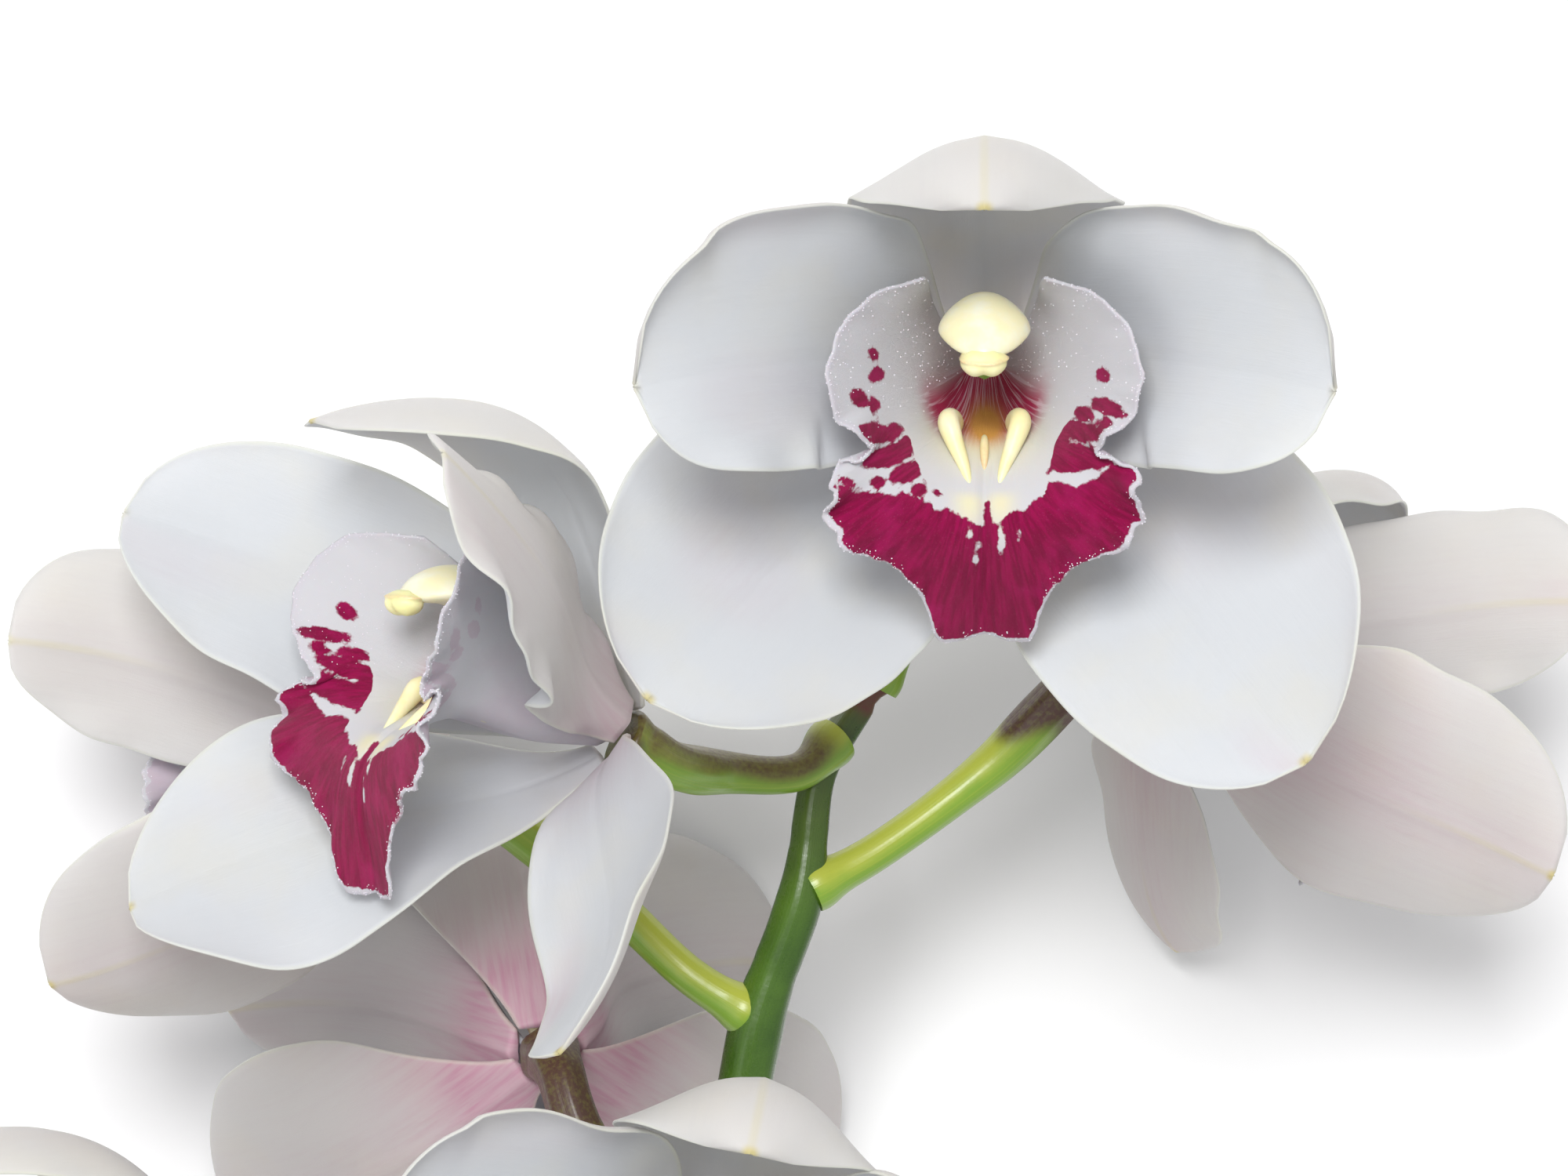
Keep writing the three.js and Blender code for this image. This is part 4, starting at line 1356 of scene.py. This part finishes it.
@dataclass(frozen=True)
class Crest:
    """The two cream ridges on the lip's floor, and the small nub between them."""

    lip: Lip
    sides: int = 18
    steps: int = 34

    def ridge(self, hand: Hand) -> Skin:
        """Builds one ridge, which rises out of the throat and sinks into the lip."""
        sign = hand.value
        shares = (0.36, 0.44, 0.5, 0.55, 0.6, 0.655)
        across = (3.0, 3.7, 4.15, 3.5, 2.5, 1.7)
        stand = (0.1, 1.4, 2.9, 1.8, 0.7, -0.05)
        feet = [self.lip.floor(sign * x, s) for x, s in zip(across, shares)]
        points = np.array([f + np.array([sign * 0.15 * h, 0.86 * h, 0.5 * h])
                           for f, h in zip(feet, stand)])
        u = np.linspace(0, 1, self.steps)
        line = evenly(points, u)
        wide = along((0.3, 0.9, 1.35, 1.4, 1.1, 0.75, 0.25), u)
        high = along((0.3, 1.2, 1.75, 1.6, 1.1, 0.7, 0.25), u)
        rings = rings_along(line, wide, high, self.sides, np.array([0.0, 0.9, 0.43]))
        return round_body(rings, {"mark": np.zeros((self.steps, self.sides))})

    def nub(self) -> Skin:
        """Builds the small tooth at the head of the midline."""
        feet = [self.lip.floor(0, s) for s in (0.46, 0.51, 0.56, 0.6)]
        lifts = (-0.1, 0.55, 0.5, -0.25)
        points = np.array([f + np.array([0, 0.9 * h, 0.43 * h]) for f, h in zip(feet, lifts)])
        u = np.linspace(0, 1, 16)
        wide = along((0.2, 0.5, 0.55, 0.2), u)
        rings = rings_along(evenly(points, u), wide, wide * 0.9, 12, np.array([0.0, 0.9, 0.43]))
        mark = np.broadcast_to(0.5 * hump(u, 1, 0.5)[:, None], (16, 12))
        return round_body(rings, {"mark": mark})

    def skin(self) -> Skin:
        """Builds both ridges and the nub."""
        return joined([self.ridge(Hand.LEFT), self.ridge(Hand.RIGHT), self.nub()])


# ---- Column --------------------------------------------------------------------------------
@dataclass(frozen=True)
class Column:
    """The column that arches over the mouth: a slim foot, winged shoulders and a domed head."""

    axis: tuple[Keys, ...] = (
        (0, 1.9, 0.9), (0, 4.8, 13), (0, 6, 24), (0, 4.7, 32), (0, 0.7, 38.4),
    )
    half_width: float = 3.0
    wide: Keys = (0.66, 0.8, 0.95, 1.1, 1.5, 1.85, 0.75)
    high: Keys = (0.6, 0.68, 0.8, 0.95, 1.1, 1.05, 0.5)
    sides: int = 44
    steps: int = 64

    def skin(self) -> Skin:
        """Builds the column in its flower's frame.

        Returns:
            Its closed body.
        """
        u = np.linspace(0, 1, self.steps)
        place, heading = evenly(np.array(self.axis, float), u)
        across = np.array([1.0, 0.0, 0.0])
        top = unit(np.cross(heading, across) * -1)
        top = np.where(top[:, 1:2] < 0, -top, top)
        round_off = np.sqrt(np.clip(1 - ease(u, 0.9, 1.02) ** 2, 0, 1))
        wide = along(self.wide, u) * self.half_width * round_off
        high = along(self.high, u) * self.half_width * round_off
        turn = np.arange(self.sides) / self.sides * math.tau
        c, s = np.cos(turn)[None], np.sin(turn)[None]
        wing = ease(u, 0.55, 0.8)[:, None] * (1 - ease(u, 0.93, 1.0))[:, None]
        low = np.where(s < 0, 0.75 - 0.1 * wing, 1.0)
        flare = 1 + 0.06 * wing * hump(s, -0.3, 0.4)
        dome = 1 - 0.24 * wing * np.clip(s, 0, 1) ** 2
        keel = -0.28 * wing * hump(c, 0, 0.35) * (s < 0)
        x = wide[:, None] * c * flare * dome
        y = high[:, None] * (s * low * (1 + 0.08 * wing * (s > 0)) - keel)
        rings = place[:, None] + across * x[..., None] + top[:, None] * y[..., None]
        blush = 0.35 * ease(u, 0.5, 0.1)[:, None] * (s < 0.2) + 0.0 * c
        return round_body(rings, {"mark": blush})


@dataclass(frozen=True)
class AntherCap:
    """The cap under the column's tip: two cheeks with a shallow groove and a thin skirt."""

    centre: Keys = (-0.1, 0.2, 37.4)
    radii: Keys = (2.95, 1.75, 2.3)
    sides: int = 40
    steps: int = 26

    def skin(self) -> Skin:
        """Builds the cap in its flower's frame.

        Returns:
            Its closed body.
        """
        lat = np.linspace(-math.pi / 2 + 0.06, math.pi / 2 - 0.06, self.steps)[:, None]
        lon = (np.arange(self.sides) / self.sides * math.tau)[None]
        x, y, z = np.cos(lat) * np.cos(lon), np.sin(lat) + 0 * lon, np.cos(lat) * np.sin(lon)
        groove = 0.16 * hump(x, 0, 0.22) * ease(-y, -0.5, 0.6)
        cheeks = 1 + 0.06 * hump(np.abs(x), 0.5, 0.25) * (z > 0) - groove
        skirt = 1 + 0.16 * hump(y, 0.42, 0.14) + 0.05 * np.sin(5 * lon + 1) * hump(y, 0.42, 0.2)
        rings = np.stack([x * cheeks * skirt, y * cheeks, z * cheeks * skirt], -1)
        lean = math.radians(24)
        yy = rings[..., 1] * self.radii[1]
        zz = rings[..., 2] * self.radii[2]
        rings[..., 0] *= self.radii[0]
        rings[..., 1] = yy * math.cos(lean) - zz * math.sin(lean)
        rings[..., 2] = yy * math.sin(lean) + zz * math.cos(lean)
        rings = rings + np.array(self.centre)
        return round_body(rings, {"mark": 0.55 * hump(y, 0.42, 0.13) + 0.0 * lon})


# ---- Stem and stalks -----------------------------------------------------------------------
@dataclass(frozen=True)
class Stem:
    """The one stem, from its withered tip behind the top flower to its cut foot."""

    path: tuple[Keys, ...] = (
        (13.4, -12, -50), (9, -18, -50.5), (5, -25, -51), (2.5, -42, -51), (-3.5, -60, -52),
        (-8, -90, -54), (-12, -140, -61.5), (-15, -230, -79), (-14, -310, -96.5),
        (-11, -372, -110.6),
    )
    tip_radius: float = 1.7
    radius: float = 3.9
    foot_flare: float = 0.2
    frame_rows: int = 26
    frame_sides: int = 10
    steps: int = 300
    sides: int = 40

    def girth(self, share: Array) -> Array:
        """The stem's radius at shares of its length from the tip."""
        thin, full = self.tip_radius, self.radius
        keys = (thin, (thin + full) / 2, thin + (full - thin) * 0.95, *(full,) * 9)
        return along((*keys, full + self.foot_flare), share)

    def points(self) -> Array:
        """The places that the stem passes."""
        return np.array(self.path, float)

    def lowest_corner(self) -> Array:
        """The lowest corner of the stem's box, as the frame's coarse stem has it."""
        share = np.linspace(0, 1, self.frame_rows + 1)
        girth = self.girth(share)
        up = np.array([0.0, 0.0, 1.0])
        rings = rings_along(evenly(self.points(), share), girth, girth, self.frame_sides, up)
        return rings.reshape(-1, 3).min(axis=0)

    def build(self, shop: Workshop, nodes: Array) -> None:
        """Builds the stem, its cut face and the fibres in it.

        Args:
            shop: Finishes, tools and place.
            nodes: Where each stalk leaves, as shares of the stem's length.
        """
        share = np.linspace(0, 1, self.steps)
        place, heading = evenly(self.points(), share)
        reach = share * line_length(self.points())
        girth = self.girth(share)
        for node in nodes:
            at = node * reach[-1]
            girth = girth + 0.28 * hump(reach, at + 1.5, 4.5) - 0.12 * hump(reach, at - 7, 1.1)
        girth = girth + 0.35 * hump(reach, 0.8, 1.0) - 0.55 * hump(reach, 3.4, 1.2)
        girth = girth * (1 + 0.012 * rolling(share * 6, 0 * share, 5, 3.0))
        girth[0] *= 0.72
        place = place + rolling(share * 3, 0 * share, 8, 2.0)[:, None] * np.array([0.25, 0, 0.1])
        mesh = stalk_mesh(shop, "stem_green", place, girth, self.sides, (5.0, 0.00012, -0.2))
        values = read_values(mesh)
        near_tip = ease(values["along"] * reach[-1], 7.0, 4.0)
        dusk = 0.45 * ease(values["along"], 0.12, 0.0) * values["sunny"]
        cut = 0.5 * ease(values["along"] * reach[-1], reach[-1] - 2.5, reach[-1])
        write_value(mesh, "ripe", np.clip(near_tip + dusk + cut, 0, 1))
        piece = shown("stem_green", mesh, shop.looks.stem)
        settle(piece, Slot.STEM, "stem")
        self.cut_face(shop, place[-1], heading[-1], float(girth[-1]))

    def cut_face(self, shop: Workshop, centre: Array, heading: Array, radius: float) -> None:
        """Builds the pale pith on the cut foot and the fibre ends that stand in it.

        Args:
            shop: Finishes, tools and place.
            centre: The middle of the cut.
            heading: The way that it faces.
            radius: The stem's radius there.
        """
        up = np.array([0.0, 0.0, 1.0])
        across = unit(np.cross(heading, up))
        top = np.cross(across, heading)
        turn = np.arange(40) / 40 * math.tau
        profile = ((0.2, -0.35), (0.9, -0.3), (0.93, 0.1), (0.86, 0.2), (0.5, 0.12), (0.12, 0.08))
        rings = []
        for reach, out in profile:
            wobble = 1 + 0.02 * np.sin(3 * turn + reach * 7)
            sideways = across * (np.cos(turn) * wobble)[:, None]
            upright = top * (np.sin(turn) * wobble)[:, None]
            rings.append(centre + (sideways + upright) * radius * reach + heading * out)
        disc = np.array(rings)
        fringe = np.array([0, 0, 0, 1.0, 1.0, 1.0])[:, None] * np.ones(40)
        skin = round_body(disc, {"fringe": fringe})
        piece = shop.add("stem_cut_pith", skin, shop.looks.pith, Slot.STEM)
        settings = {
            "Density": 1.5e6, "Grain Radius": 0.00022, "Stretch": 0.6, "Seed": 4,
            "Material": shop.looks.fibre,
        }
        fibres = shop.grains.run("stem_cut_fibres", piece.data.copy(), settings)
        settle(shown("stem_cut_fibres", fibres, shop.looks.fibre), Slot.STEM)


def read_values(mesh: bpy.types.Mesh) -> dict[str, Array]:
    """Reads a stalk mesh's named values, with how far each point faces up the spray.

    Args:
        mesh: The mesh.

    Returns:
        The values by name.
    """
    count = len(mesh.vertices)
    found = {}
    for name in ("along", "round"):
        layer = np.zeros(count, np.float32)
        mesh.attributes[name].data.foreach_get("value", layer)
        found[name] = layer.astype(float)
    normal = np.zeros(count * 3, np.float32)
    mesh.vertex_normals.foreach_get("vector", normal)
    # How far each point faces up the spray towards the light; the stalk finish paints light and
    # shade with it, and the pedicels' upper ripening follows it.
    found["sunny"] = normal.reshape(-1, 3).astype(float) @ np.array([0.0, 0.85, 0.53])
    return found


def write_value(mesh: bpy.types.Mesh, name: str, value: Array) -> None:
    """Stores a named value on a mesh's points."""
    layer = mesh.attributes.get(name) or mesh.attributes.new(name, "FLOAT", "POINT")
    layer.data.foreach_set("value", value.astype(np.float32))


def stalk_mesh(
    shop: Workshop, name: str, place: Array, girth: Array, sides: int,
    ribs: tuple[float, float, float],
) -> bpy.types.Mesh:
    """Skins a path with the stalk tool.

    Args:
        shop: Finishes, tools and place.
        name: The mesh's name.
        place: The path's points.
        girth: The radius at each.
        sides: Points in the section.
        ribs: How many ribs there are, their depth in metres and the share where they start.

    Returns:
        The closed mesh, with "along", "round" and "sunny" as named values.
    """
    path = bpy.data.meshes.new(f"{name}_path")
    count = len(place)
    edges = [(k, k + 1) for k in range(count - 1)]
    path.from_pydata(((place + shop.shift) * MM).tolist(), edges, [])
    write_value(path, "girth", girth * MM)
    write_value(path, "along", np.linspace(0, 1, count))
    settings = {
        "Sides": sides, "Ribs": ribs[0], "Rib Depth": ribs[1], "Rib Start": ribs[2],
        "Material": shop.looks.stalk,
    }
    mesh = shop.stalks.run(name, path, settings)
    points = np.zeros(len(mesh.vertices) * 3, np.float32)
    mesh.vertices.foreach_get("co", points)
    mesh.calc_loop_triangles()
    tris = np.zeros(len(mesh.loop_triangles) * 3, np.int32)
    mesh.loop_triangles.foreach_get("vertices", tris)
    body = Skin(points.reshape(-1, 3).astype(float), [tris.reshape(-1, 3)])
    if body.volume() < 0:
        mesh.flip_normals()
    write_value(mesh, "sunny", read_values(mesh)["sunny"])
    return mesh


@dataclass(frozen=True)
class Stalk:
    """The pedicel of one flower, from the stem to the ovary behind the flower."""

    node: float
    bend: tuple[Keys, ...]
    thin: float = 2.6
    thick: float = 3.3
    joint_gap: float = 0.35
    ripe_from: float = 0.62
    ripe_to: float = 0.7
    ripe_above: float = 0.0
    steps: int = 96
    sides: int = 30

    def path(self, heart: Array, forward: Array, stem: Stem) -> Array:
        """The places that the stalk passes.

        Args:
            heart: The top of its ovary.
            forward: The way that its flower faces.
            stem: The stem it leaves.

        Returns:
            Points from inside the stem to the ovary's top.
        """
        share = self.node / line_length(stem.points())
        start = evenly(stem.points(), np.array([share]))[0][0]
        first = np.array(self.bend[0], float)
        start = start + unit(first - start) * float(stem.girth(np.array([share]))[0]) * 0.4
        end = heart - forward * (0.6 + self.joint_gap)
        behind = heart - forward * 9
        return np.array([start, *self.bend, behind, end], float)

    def build(
        self, shop: Workshop, name: str, node: str, heart: Array, forward: Array, stem: Stem,
        receptacle: float,
    ) -> None:
        """Builds the stalk.

        Args:
            shop: Finishes, tools and place.
            name: The piece's name.
            node: The frame's node that it stands for.
            heart: The top of its ovary.
            forward: The way that its flower faces.
            stem: The stem it leaves.
            receptacle: The radius at the ovary's top.
        """
        points = self.path(heart, forward, stem)
        share = np.linspace(0, 1, self.steps)
        place, _ = evenly(points, share)
        keys = (self.thin * 1.1, self.thin, self.thin * 1.05, self.thick, self.thick, receptacle)
        reach = share * line_length(points)
        girth = along(keys, share) + 0.75 * hump(reach, 1.2, 2.6)
        girth = girth - 0.3 * hump(reach, reach[-1] - 2.6, 1.3)
        girth[-1] *= 0.8
        mesh = stalk_mesh(shop, name, place, girth, self.sides, (6.0, 0.00016, 0.55))
        values = read_values(mesh)
        mottle = 0.06 * rolling(values["along"], values["round"] * 4, int(self.node * 10), 2.0)
        ripe = ease(values["along"] + mottle, self.ripe_from, self.ripe_to)
        upper = self.ripe_above * ease(values["sunny"] + 3 * mottle, -0.1, 0.75)
        ripe = np.maximum(ripe, upper * ease(values["along"], 0.0, 0.12))
        write_value(mesh, "ripe", np.clip(ripe, 0, 1))
        settle(shown(name, mesh, shop.looks.stalk), Slot.PEDICEL, node)


# ---- Flowers -------------------------------------------------------------------------------
@dataclass(frozen=True)
class Flower:
    """One flower: three sepals, two petals, lip, column and cap, and the stalk behind it.

    Swing turns its lip and column towards its right, in degrees.
    """

    node: str
    name: str
    heart: Keys
    facing: Keys
    crown: Keys
    stalk: Stalk
    size: float = 1.0
    hood: Blade = HOOD
    petals: tuple[Blade, Blade] = (PETAL, PETAL)
    laterals: tuple[Blade, Blade] = (LATERAL, LATERAL)
    lip: Lip = Lip()
    swing: float = 0.0
    seed: int = 1
    receptacle: float = 4.4

    def stance(self) -> Array:
        """The turn from the flower's own axes to the spray's."""
        forward = unit(np.array(self.facing, float))
        crown = np.array(self.crown, float)
        crown = unit(crown - forward * crown.dot(forward))
        return np.stack([np.cross(crown, forward), crown, forward], axis=1)

    def build(self, shop: Workshop, stem: Stem) -> None:
        """Builds the whole flower.

        Args:
            shop: Finishes, tools and place.
            stem: The stem that it grows from.
        """
        turn, heart = self.stance(), np.array(self.heart, float)
        looks = shop.looks

        c, s = math.cos(math.radians(self.swing)), math.sin(math.radians(self.swing))
        swung = turn @ np.array([[c, 0, s], [0, 1, 0], [-s, 0, c]])

        def add(
            part: str, skin: Skin, look: bpy.types.Material, slot: Slot, *nodes: str
        ) -> bpy.types.Object:
            """Adds one part of this flower to the scene.

            Args:
                part: The part's name.
                skin: Its closed body in the flower's frame.
                look: Its finish.
                slot: The finish that it belongs to.
                *nodes: The frame's nodes that it stands for.

            Returns:
                The piece.
            """
            way = swung if slot in (Slot.LIP, Slot.COLUMN) else turn
            placed = skin.placed(way, self.size, heart)
            return shop.add(f"{self.name}_{part}", placed, look, slot, *nodes)

        hood = self.hood.skin(Hand.LEFT, self.receptacle, self.seed)
        add("hood", hood, looks.sepal, Slot.SEPAL, f"{self.node}_dorsal_sepal")
        for index, hand in enumerate((Hand.LEFT, Hand.RIGHT)):
            side = hand.name.lower()
            petal = self.petals[index].skin(hand, self.receptacle, self.seed + 11 + index)
            add(f"{side}_petal", petal, looks.petal, Slot.PETAL, f"{self.node}_petal_{side}")
            lateral = self.laterals[index].skin(hand, self.receptacle, self.seed + 31 + index)
            part = f"{side}_sepal"
            add(part, lateral, looks.sepal, Slot.SEPAL, f"{self.node}_lateral_sepal_{side}")
        lip = add("lip", self.lip.skin(self.seed + 51), looks.lip, Slot.LIP, f"{self.node}_lip")
        settings = {
            "Density": 3.4e6, "Grain Radius": 0.000085, "Stretch": 1.5, "Seed": self.seed,
            "Material": looks.papilla,
        }
        grains = shop.grains.run(f"{self.name}_lip_papillae", lip.data.copy(), settings)
        settle(shown(f"{self.name}_lip_papillae", grains, looks.papilla), Slot.LIP)
        add("crest", Crest(self.lip).skin(), looks.crest, Slot.COLUMN)
        add("column", Column().skin(), looks.column, Slot.COLUMN, f"{self.node}_column")
        add("anther_cap", AntherCap().skin(), looks.cap, Slot.COLUMN)
        self.stalk.build(
            shop, f"{self.name}_stalk", f"{self.node}_pedicel", heart, turn[:, 2], stem,
            self.receptacle,
        )


def spray() -> list[Flower]:
    """Describes the seven flowers.

    Returns:
        The flowers from the stem's tip down.
    """
    top = Flower(
        "f1", "top_flower", (26.6, 29.7, -28), (-0.037, -0.041, 1), (0, 1, 0),
        Stalk(2.5, ((18, -3, -50), (24, 12, -49)), ripe_from=1.2, ripe_to=1.4),
        petals=(BROAD_PETAL, replace(BROAD_PETAL, sway=22)),
        laterals=(LATERAL, replace(
            LATERAL, clock=231, sway=0, length=68, rise=(22, 28, 27, 27), twist=(0, 0, -1, 10),
            half=(20.4, 23.9), blush_face=0.22,
        )),
        seed=101,
    )
    second_hood = replace(
        HOOD, length=71.5, rise=(38, 49, 68, 116, 136), twist=(-3, -9), roll_from=0.74,
        roll=((0, 0), (0, 0)),
        cup=((18, 20, 16, 4), (18, 20, 50, 54)), ripple=(0.5, 0.4), half=(18, 19.2), blunt=1.5,
    )
    second_petals = (
        replace(
            PETAL, clock=170, sway=22, length=70, rise=(57, 62, 56, 60), twist=(0, 4, -4, -13),
            half=(16.5, 18), ripple=(0.3, 0.3), roll=((0, 0, 4, 6), (0, 12, 26, 20)), pleats=(),
        ),
        replace(
            PETAL, clock=168, sway=-18, rise=(74, 40, 64, 66), twist=(-8, 8, 18, 17),
            half=(14.2, 17), cup=((10, 21, 13, 22), (7, 26, 35, 37)), ripple=(1.3, 0.9),
            waves=3.4, roll=((0, 10, -20, 25), (0, 20, 30, 20)), pleats=(), blush_foot=0.3,
        ),
    )
    second_laterals = (
        replace(
            LATERAL, clock=244, sway=-10, rise=(30, 49, 37, 30), twist=(8, 4, 24, 3),
            half=(21, 19.5), cup=((7, 16, 7, 24), (20, 21, 23, 28)), ripple=(0.35, 0.6),
        ),
        replace(
            LATERAL, clock=221, sway=14, rise=(34, -5, 9, 26), twist=(5, -11, 9, -1),
            half=(13, 16), cup=((12, 23, 8, 28), (20, 22, 15, 29)), ripple=(0.7, 0.5),
            blush_face=0.3, blush_foot=0.4, roll=((0, 10, 30, 20), (0, 8, 10, 14)),
        ),
    )
    turned_lip = Lip(marks=LipMarks(mirrored=True))
    second = Flower(
        "f2", "left_flower", (-22.3, -19.4, -32), (-0.777, 0.463, 0.426),
        (0.402, 0.886, -0.232),
        Stalk(10, ((2, -25, -47), (-8, -25, -44)), ripe_from=0.8, ripe_to=1.1, ripe_above=0.85),
        hood=second_hood, petals=second_petals, laterals=second_laterals, lip=turned_lip,
        swing=6, seed=202,
    )
    pink = {"blush_back": 0.38, "blush_foot": 0.35}
    rosy = {"blush_back": 0.3, "blush_foot": 1.1}
    back_petal = replace(PETAL, pleats=())
    third = Flower(
        "f3", "far_left_flower", (-49.5, -25, -55), (-0.7, 0.3, -0.65), (0.1, 0.95, -0.1),
        Stalk(51, ((-13, -53, -52), (-24, -43, -54)), ripe_from=0.9, ripe_to=1.1),
        size=0.9,
        petals=(
            replace(back_petal, clock=174, rise=(62, 67, 47, 33), blush_foot=0.3),
            replace(back_petal, clock=173.5, sway=20, rise=(60, 64, 41, 27), blush_foot=0.3),
        ),
        laterals=(
            replace(LATERAL, clock=211, rise=(30, 55, 61, 57), length=61.5, half=(13, 12.5)),
            replace(
                LATERAL, clock=239, sway=-9, rise=(20, 18, 35, 41), length=62.5, blush_back=0.3,
            ),
        ),
        seed=303,
    )
    fourth = Flower(
        "f4", "lower_left_flower", (-32.5, -64, -57), (-0.2, 0.2, -0.92), (-0.05, 1, 0.3),
        Stalk(86, ((-16, -84, -46), (-27, -75, -45)), ripe_from=0.45, ripe_to=0.65),
        hood=replace(HOOD, **rosy),
        petals=(
            replace(back_petal, clock=180, sway=18, rise=(62, 68, 34, 30), **rosy),
            replace(back_petal, clock=178, sway=24, rise=(60, 65, 52, 44), **rosy),
        ),
        laterals=(
            replace(LATERAL, clock=222, sway=12, rise=(28, 34, 38, 30), **rosy),
            replace(LATERAL, clock=222, sway=-8, rise=(28, 36, 50, 46), **rosy),
        ),
        seed=404,
    )
    fifth = Flower(
        "f5", "front_flower", (-9, -95, -20), (0.02, 0.14, 0.98), (0.2, 0.97, -0.14),
        Stalk(104, ((-9, -101, -42), (-9.5, -98, -35)), ripe_above=0.3),
        petals=(BROAD_PETAL, BROAD_PETAL), seed=505,
    )
    sixth = Flower(
        "f6", "lowest_flower", (-78, -115.5, -40), (-0.777, 0.463, 0.426),
        (0.402, 0.886, -0.232),
        Stalk(136, ((-38, -137, -50), (-62, -128, -48)), ripe_above=0.4),
        hood=second_hood, petals=second_petals, laterals=second_laterals, swing=6, seed=606,
    )
    seventh = Flower(
        "f7", "right_flower", (51.7, -9.8, -58), (0.86, 0.03, -0.51), (-0.13, 0.98, -0.16),
        Stalk(32.5, ((13, -36, -53), (28.5, -24.5, -55)), ripe_from=0.6, ripe_to=0.68),
        size=0.9,
        petals=(
            replace(back_petal, clock=173.5, sway=20, rise=(60, 66, 38, 25), blush_foot=0.3),
            replace(back_petal, blush_foot=0.3),
        ),
        laterals=(
            replace(LATERAL, clock=230, sway=-2, rise=(28, 36, 47, 36), **pink),
            replace(
                LATERAL, clock=219, sway=2, rise=(16, 22, 28, 45), twist=(0, -8, -8, -27),
                half=(18, 18), blunt=1.5, **pink,
            ),
        ),
        seed=707,
    )
    return [top, second, third, fourth, fifth, sixth, seventh]


# ---- Studio --------------------------------------------------------------------------------
@dataclass(frozen=True)
class Studio:
    """Floor, light and the camera that looks down on the spray."""

    camera_height: float = 700.0
    seen_width: float = 200.0
    key_power: float = 17.5
    world_light: float = 0.6

    def floor(self) -> None:
        """Lays a wide pale floor just under the spray."""
        reach, drop = 2.0, -0.0002
        mesh = bpy.data.meshes.new("floor")
        corners = [(x * reach, y * reach, drop) for x, y in ((-1, -1), (1, -1), (1, 1), (-1, 1))]
        mesh.from_pydata(corners, [], [(0, 1, 2, 3)])
        shown("floor", mesh, FloorFinish("pale_floor").make())

    def camera(self, shift: Array) -> None:
        """Sets the camera straight above the top flower's rim.

        Args:
            shift: From the spray's frame to the row's, in millimetres.
        """
        data = bpy.data.cameras.new("camera")
        data.sensor_width = 36.0
        data.lens = data.sensor_width * self.camera_height / self.seen_width
        data.clip_start, data.clip_end = 0.01, 20.0
        made = bpy.data.objects.new("camera", data)
        made.location = (np.array([0, 0, self.camera_height]) + shift) * MM
        bpy.context.scene.collection.objects.link(made)
        bpy.context.scene.camera = made

    def lamp(self, name: str, place: Keys, target: Array, power: float, size: float) -> None:
        """Hangs one square soft light.

        Args:
            name: Its name.
            place: Where it hangs, in metres from its target.
            target: What it is aimed at, in metres.
            power: Its power in watts.
            size: The side of its square in metres.
        """
        data = bpy.data.lights.new(name, "AREA")
        data.energy, data.size = power, size
        made = bpy.data.objects.new(name, data)
        centre = Vector(target.tolist())
        made.location = centre + Vector(place)
        made.rotation_mode = "QUATERNION"
        made.rotation_quaternion = (centre - made.location).to_track_quat("-Z", "Y")
        bpy.context.scene.collection.objects.link(made)

    def light(self, shift: Array) -> None:
        """Lights the scene with one soft key above the camera and an even pale world.

        Args:
            shift: From the spray's frame to the row's, in millimetres.
        """
        target = (np.array([5.0, 5.0, -10.0]) + shift) * MM
        self.lamp("key", (-0.12, 0.42, 1.35), target, self.key_power, 0.5)
        self.lamp("fill", (-0.75, -0.55, 1.2), target, self.key_power * 0.16, 0.9)
        world = bpy.data.worlds.new("pale_room")
        world.use_nodes = True
        sky = world.node_tree.nodes["Background"]
        sky.inputs["Color"].default_value = (1.0, 1.0, 1.0, 1.0)
        sky.inputs["Strength"].default_value = self.world_light
        scene = bpy.context.scene
        scene.world = world
        scene.view_settings.view_transform = "Standard"


def main() -> None:
    """Builds the spray and its studio and logs where the spray stands."""
    logging.basicConfig(level=logging.INFO, format="%(message)s")
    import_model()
    stem = Stem()
    shift = np.array(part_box("stem")[0]) / MM - stem.lowest_corner()
    LOG.info("the spray stands at %s", np.round(shift, 3).tolist())
    shop = Workshop(Finishes.make(), stalk_tool(), scatter_tool(), shift)
    studio = Studio()
    studio.camera(shift)
    studio.light(shift)
    studio.floor()
    flowers = spray()
    length = line_length(stem.points())
    stem.build(shop, np.array([flower.stalk.node / length for flower in flowers]))
    for flower in flowers:
        flower.build(shop, stem)


if __name__ == "__main__":
    main()
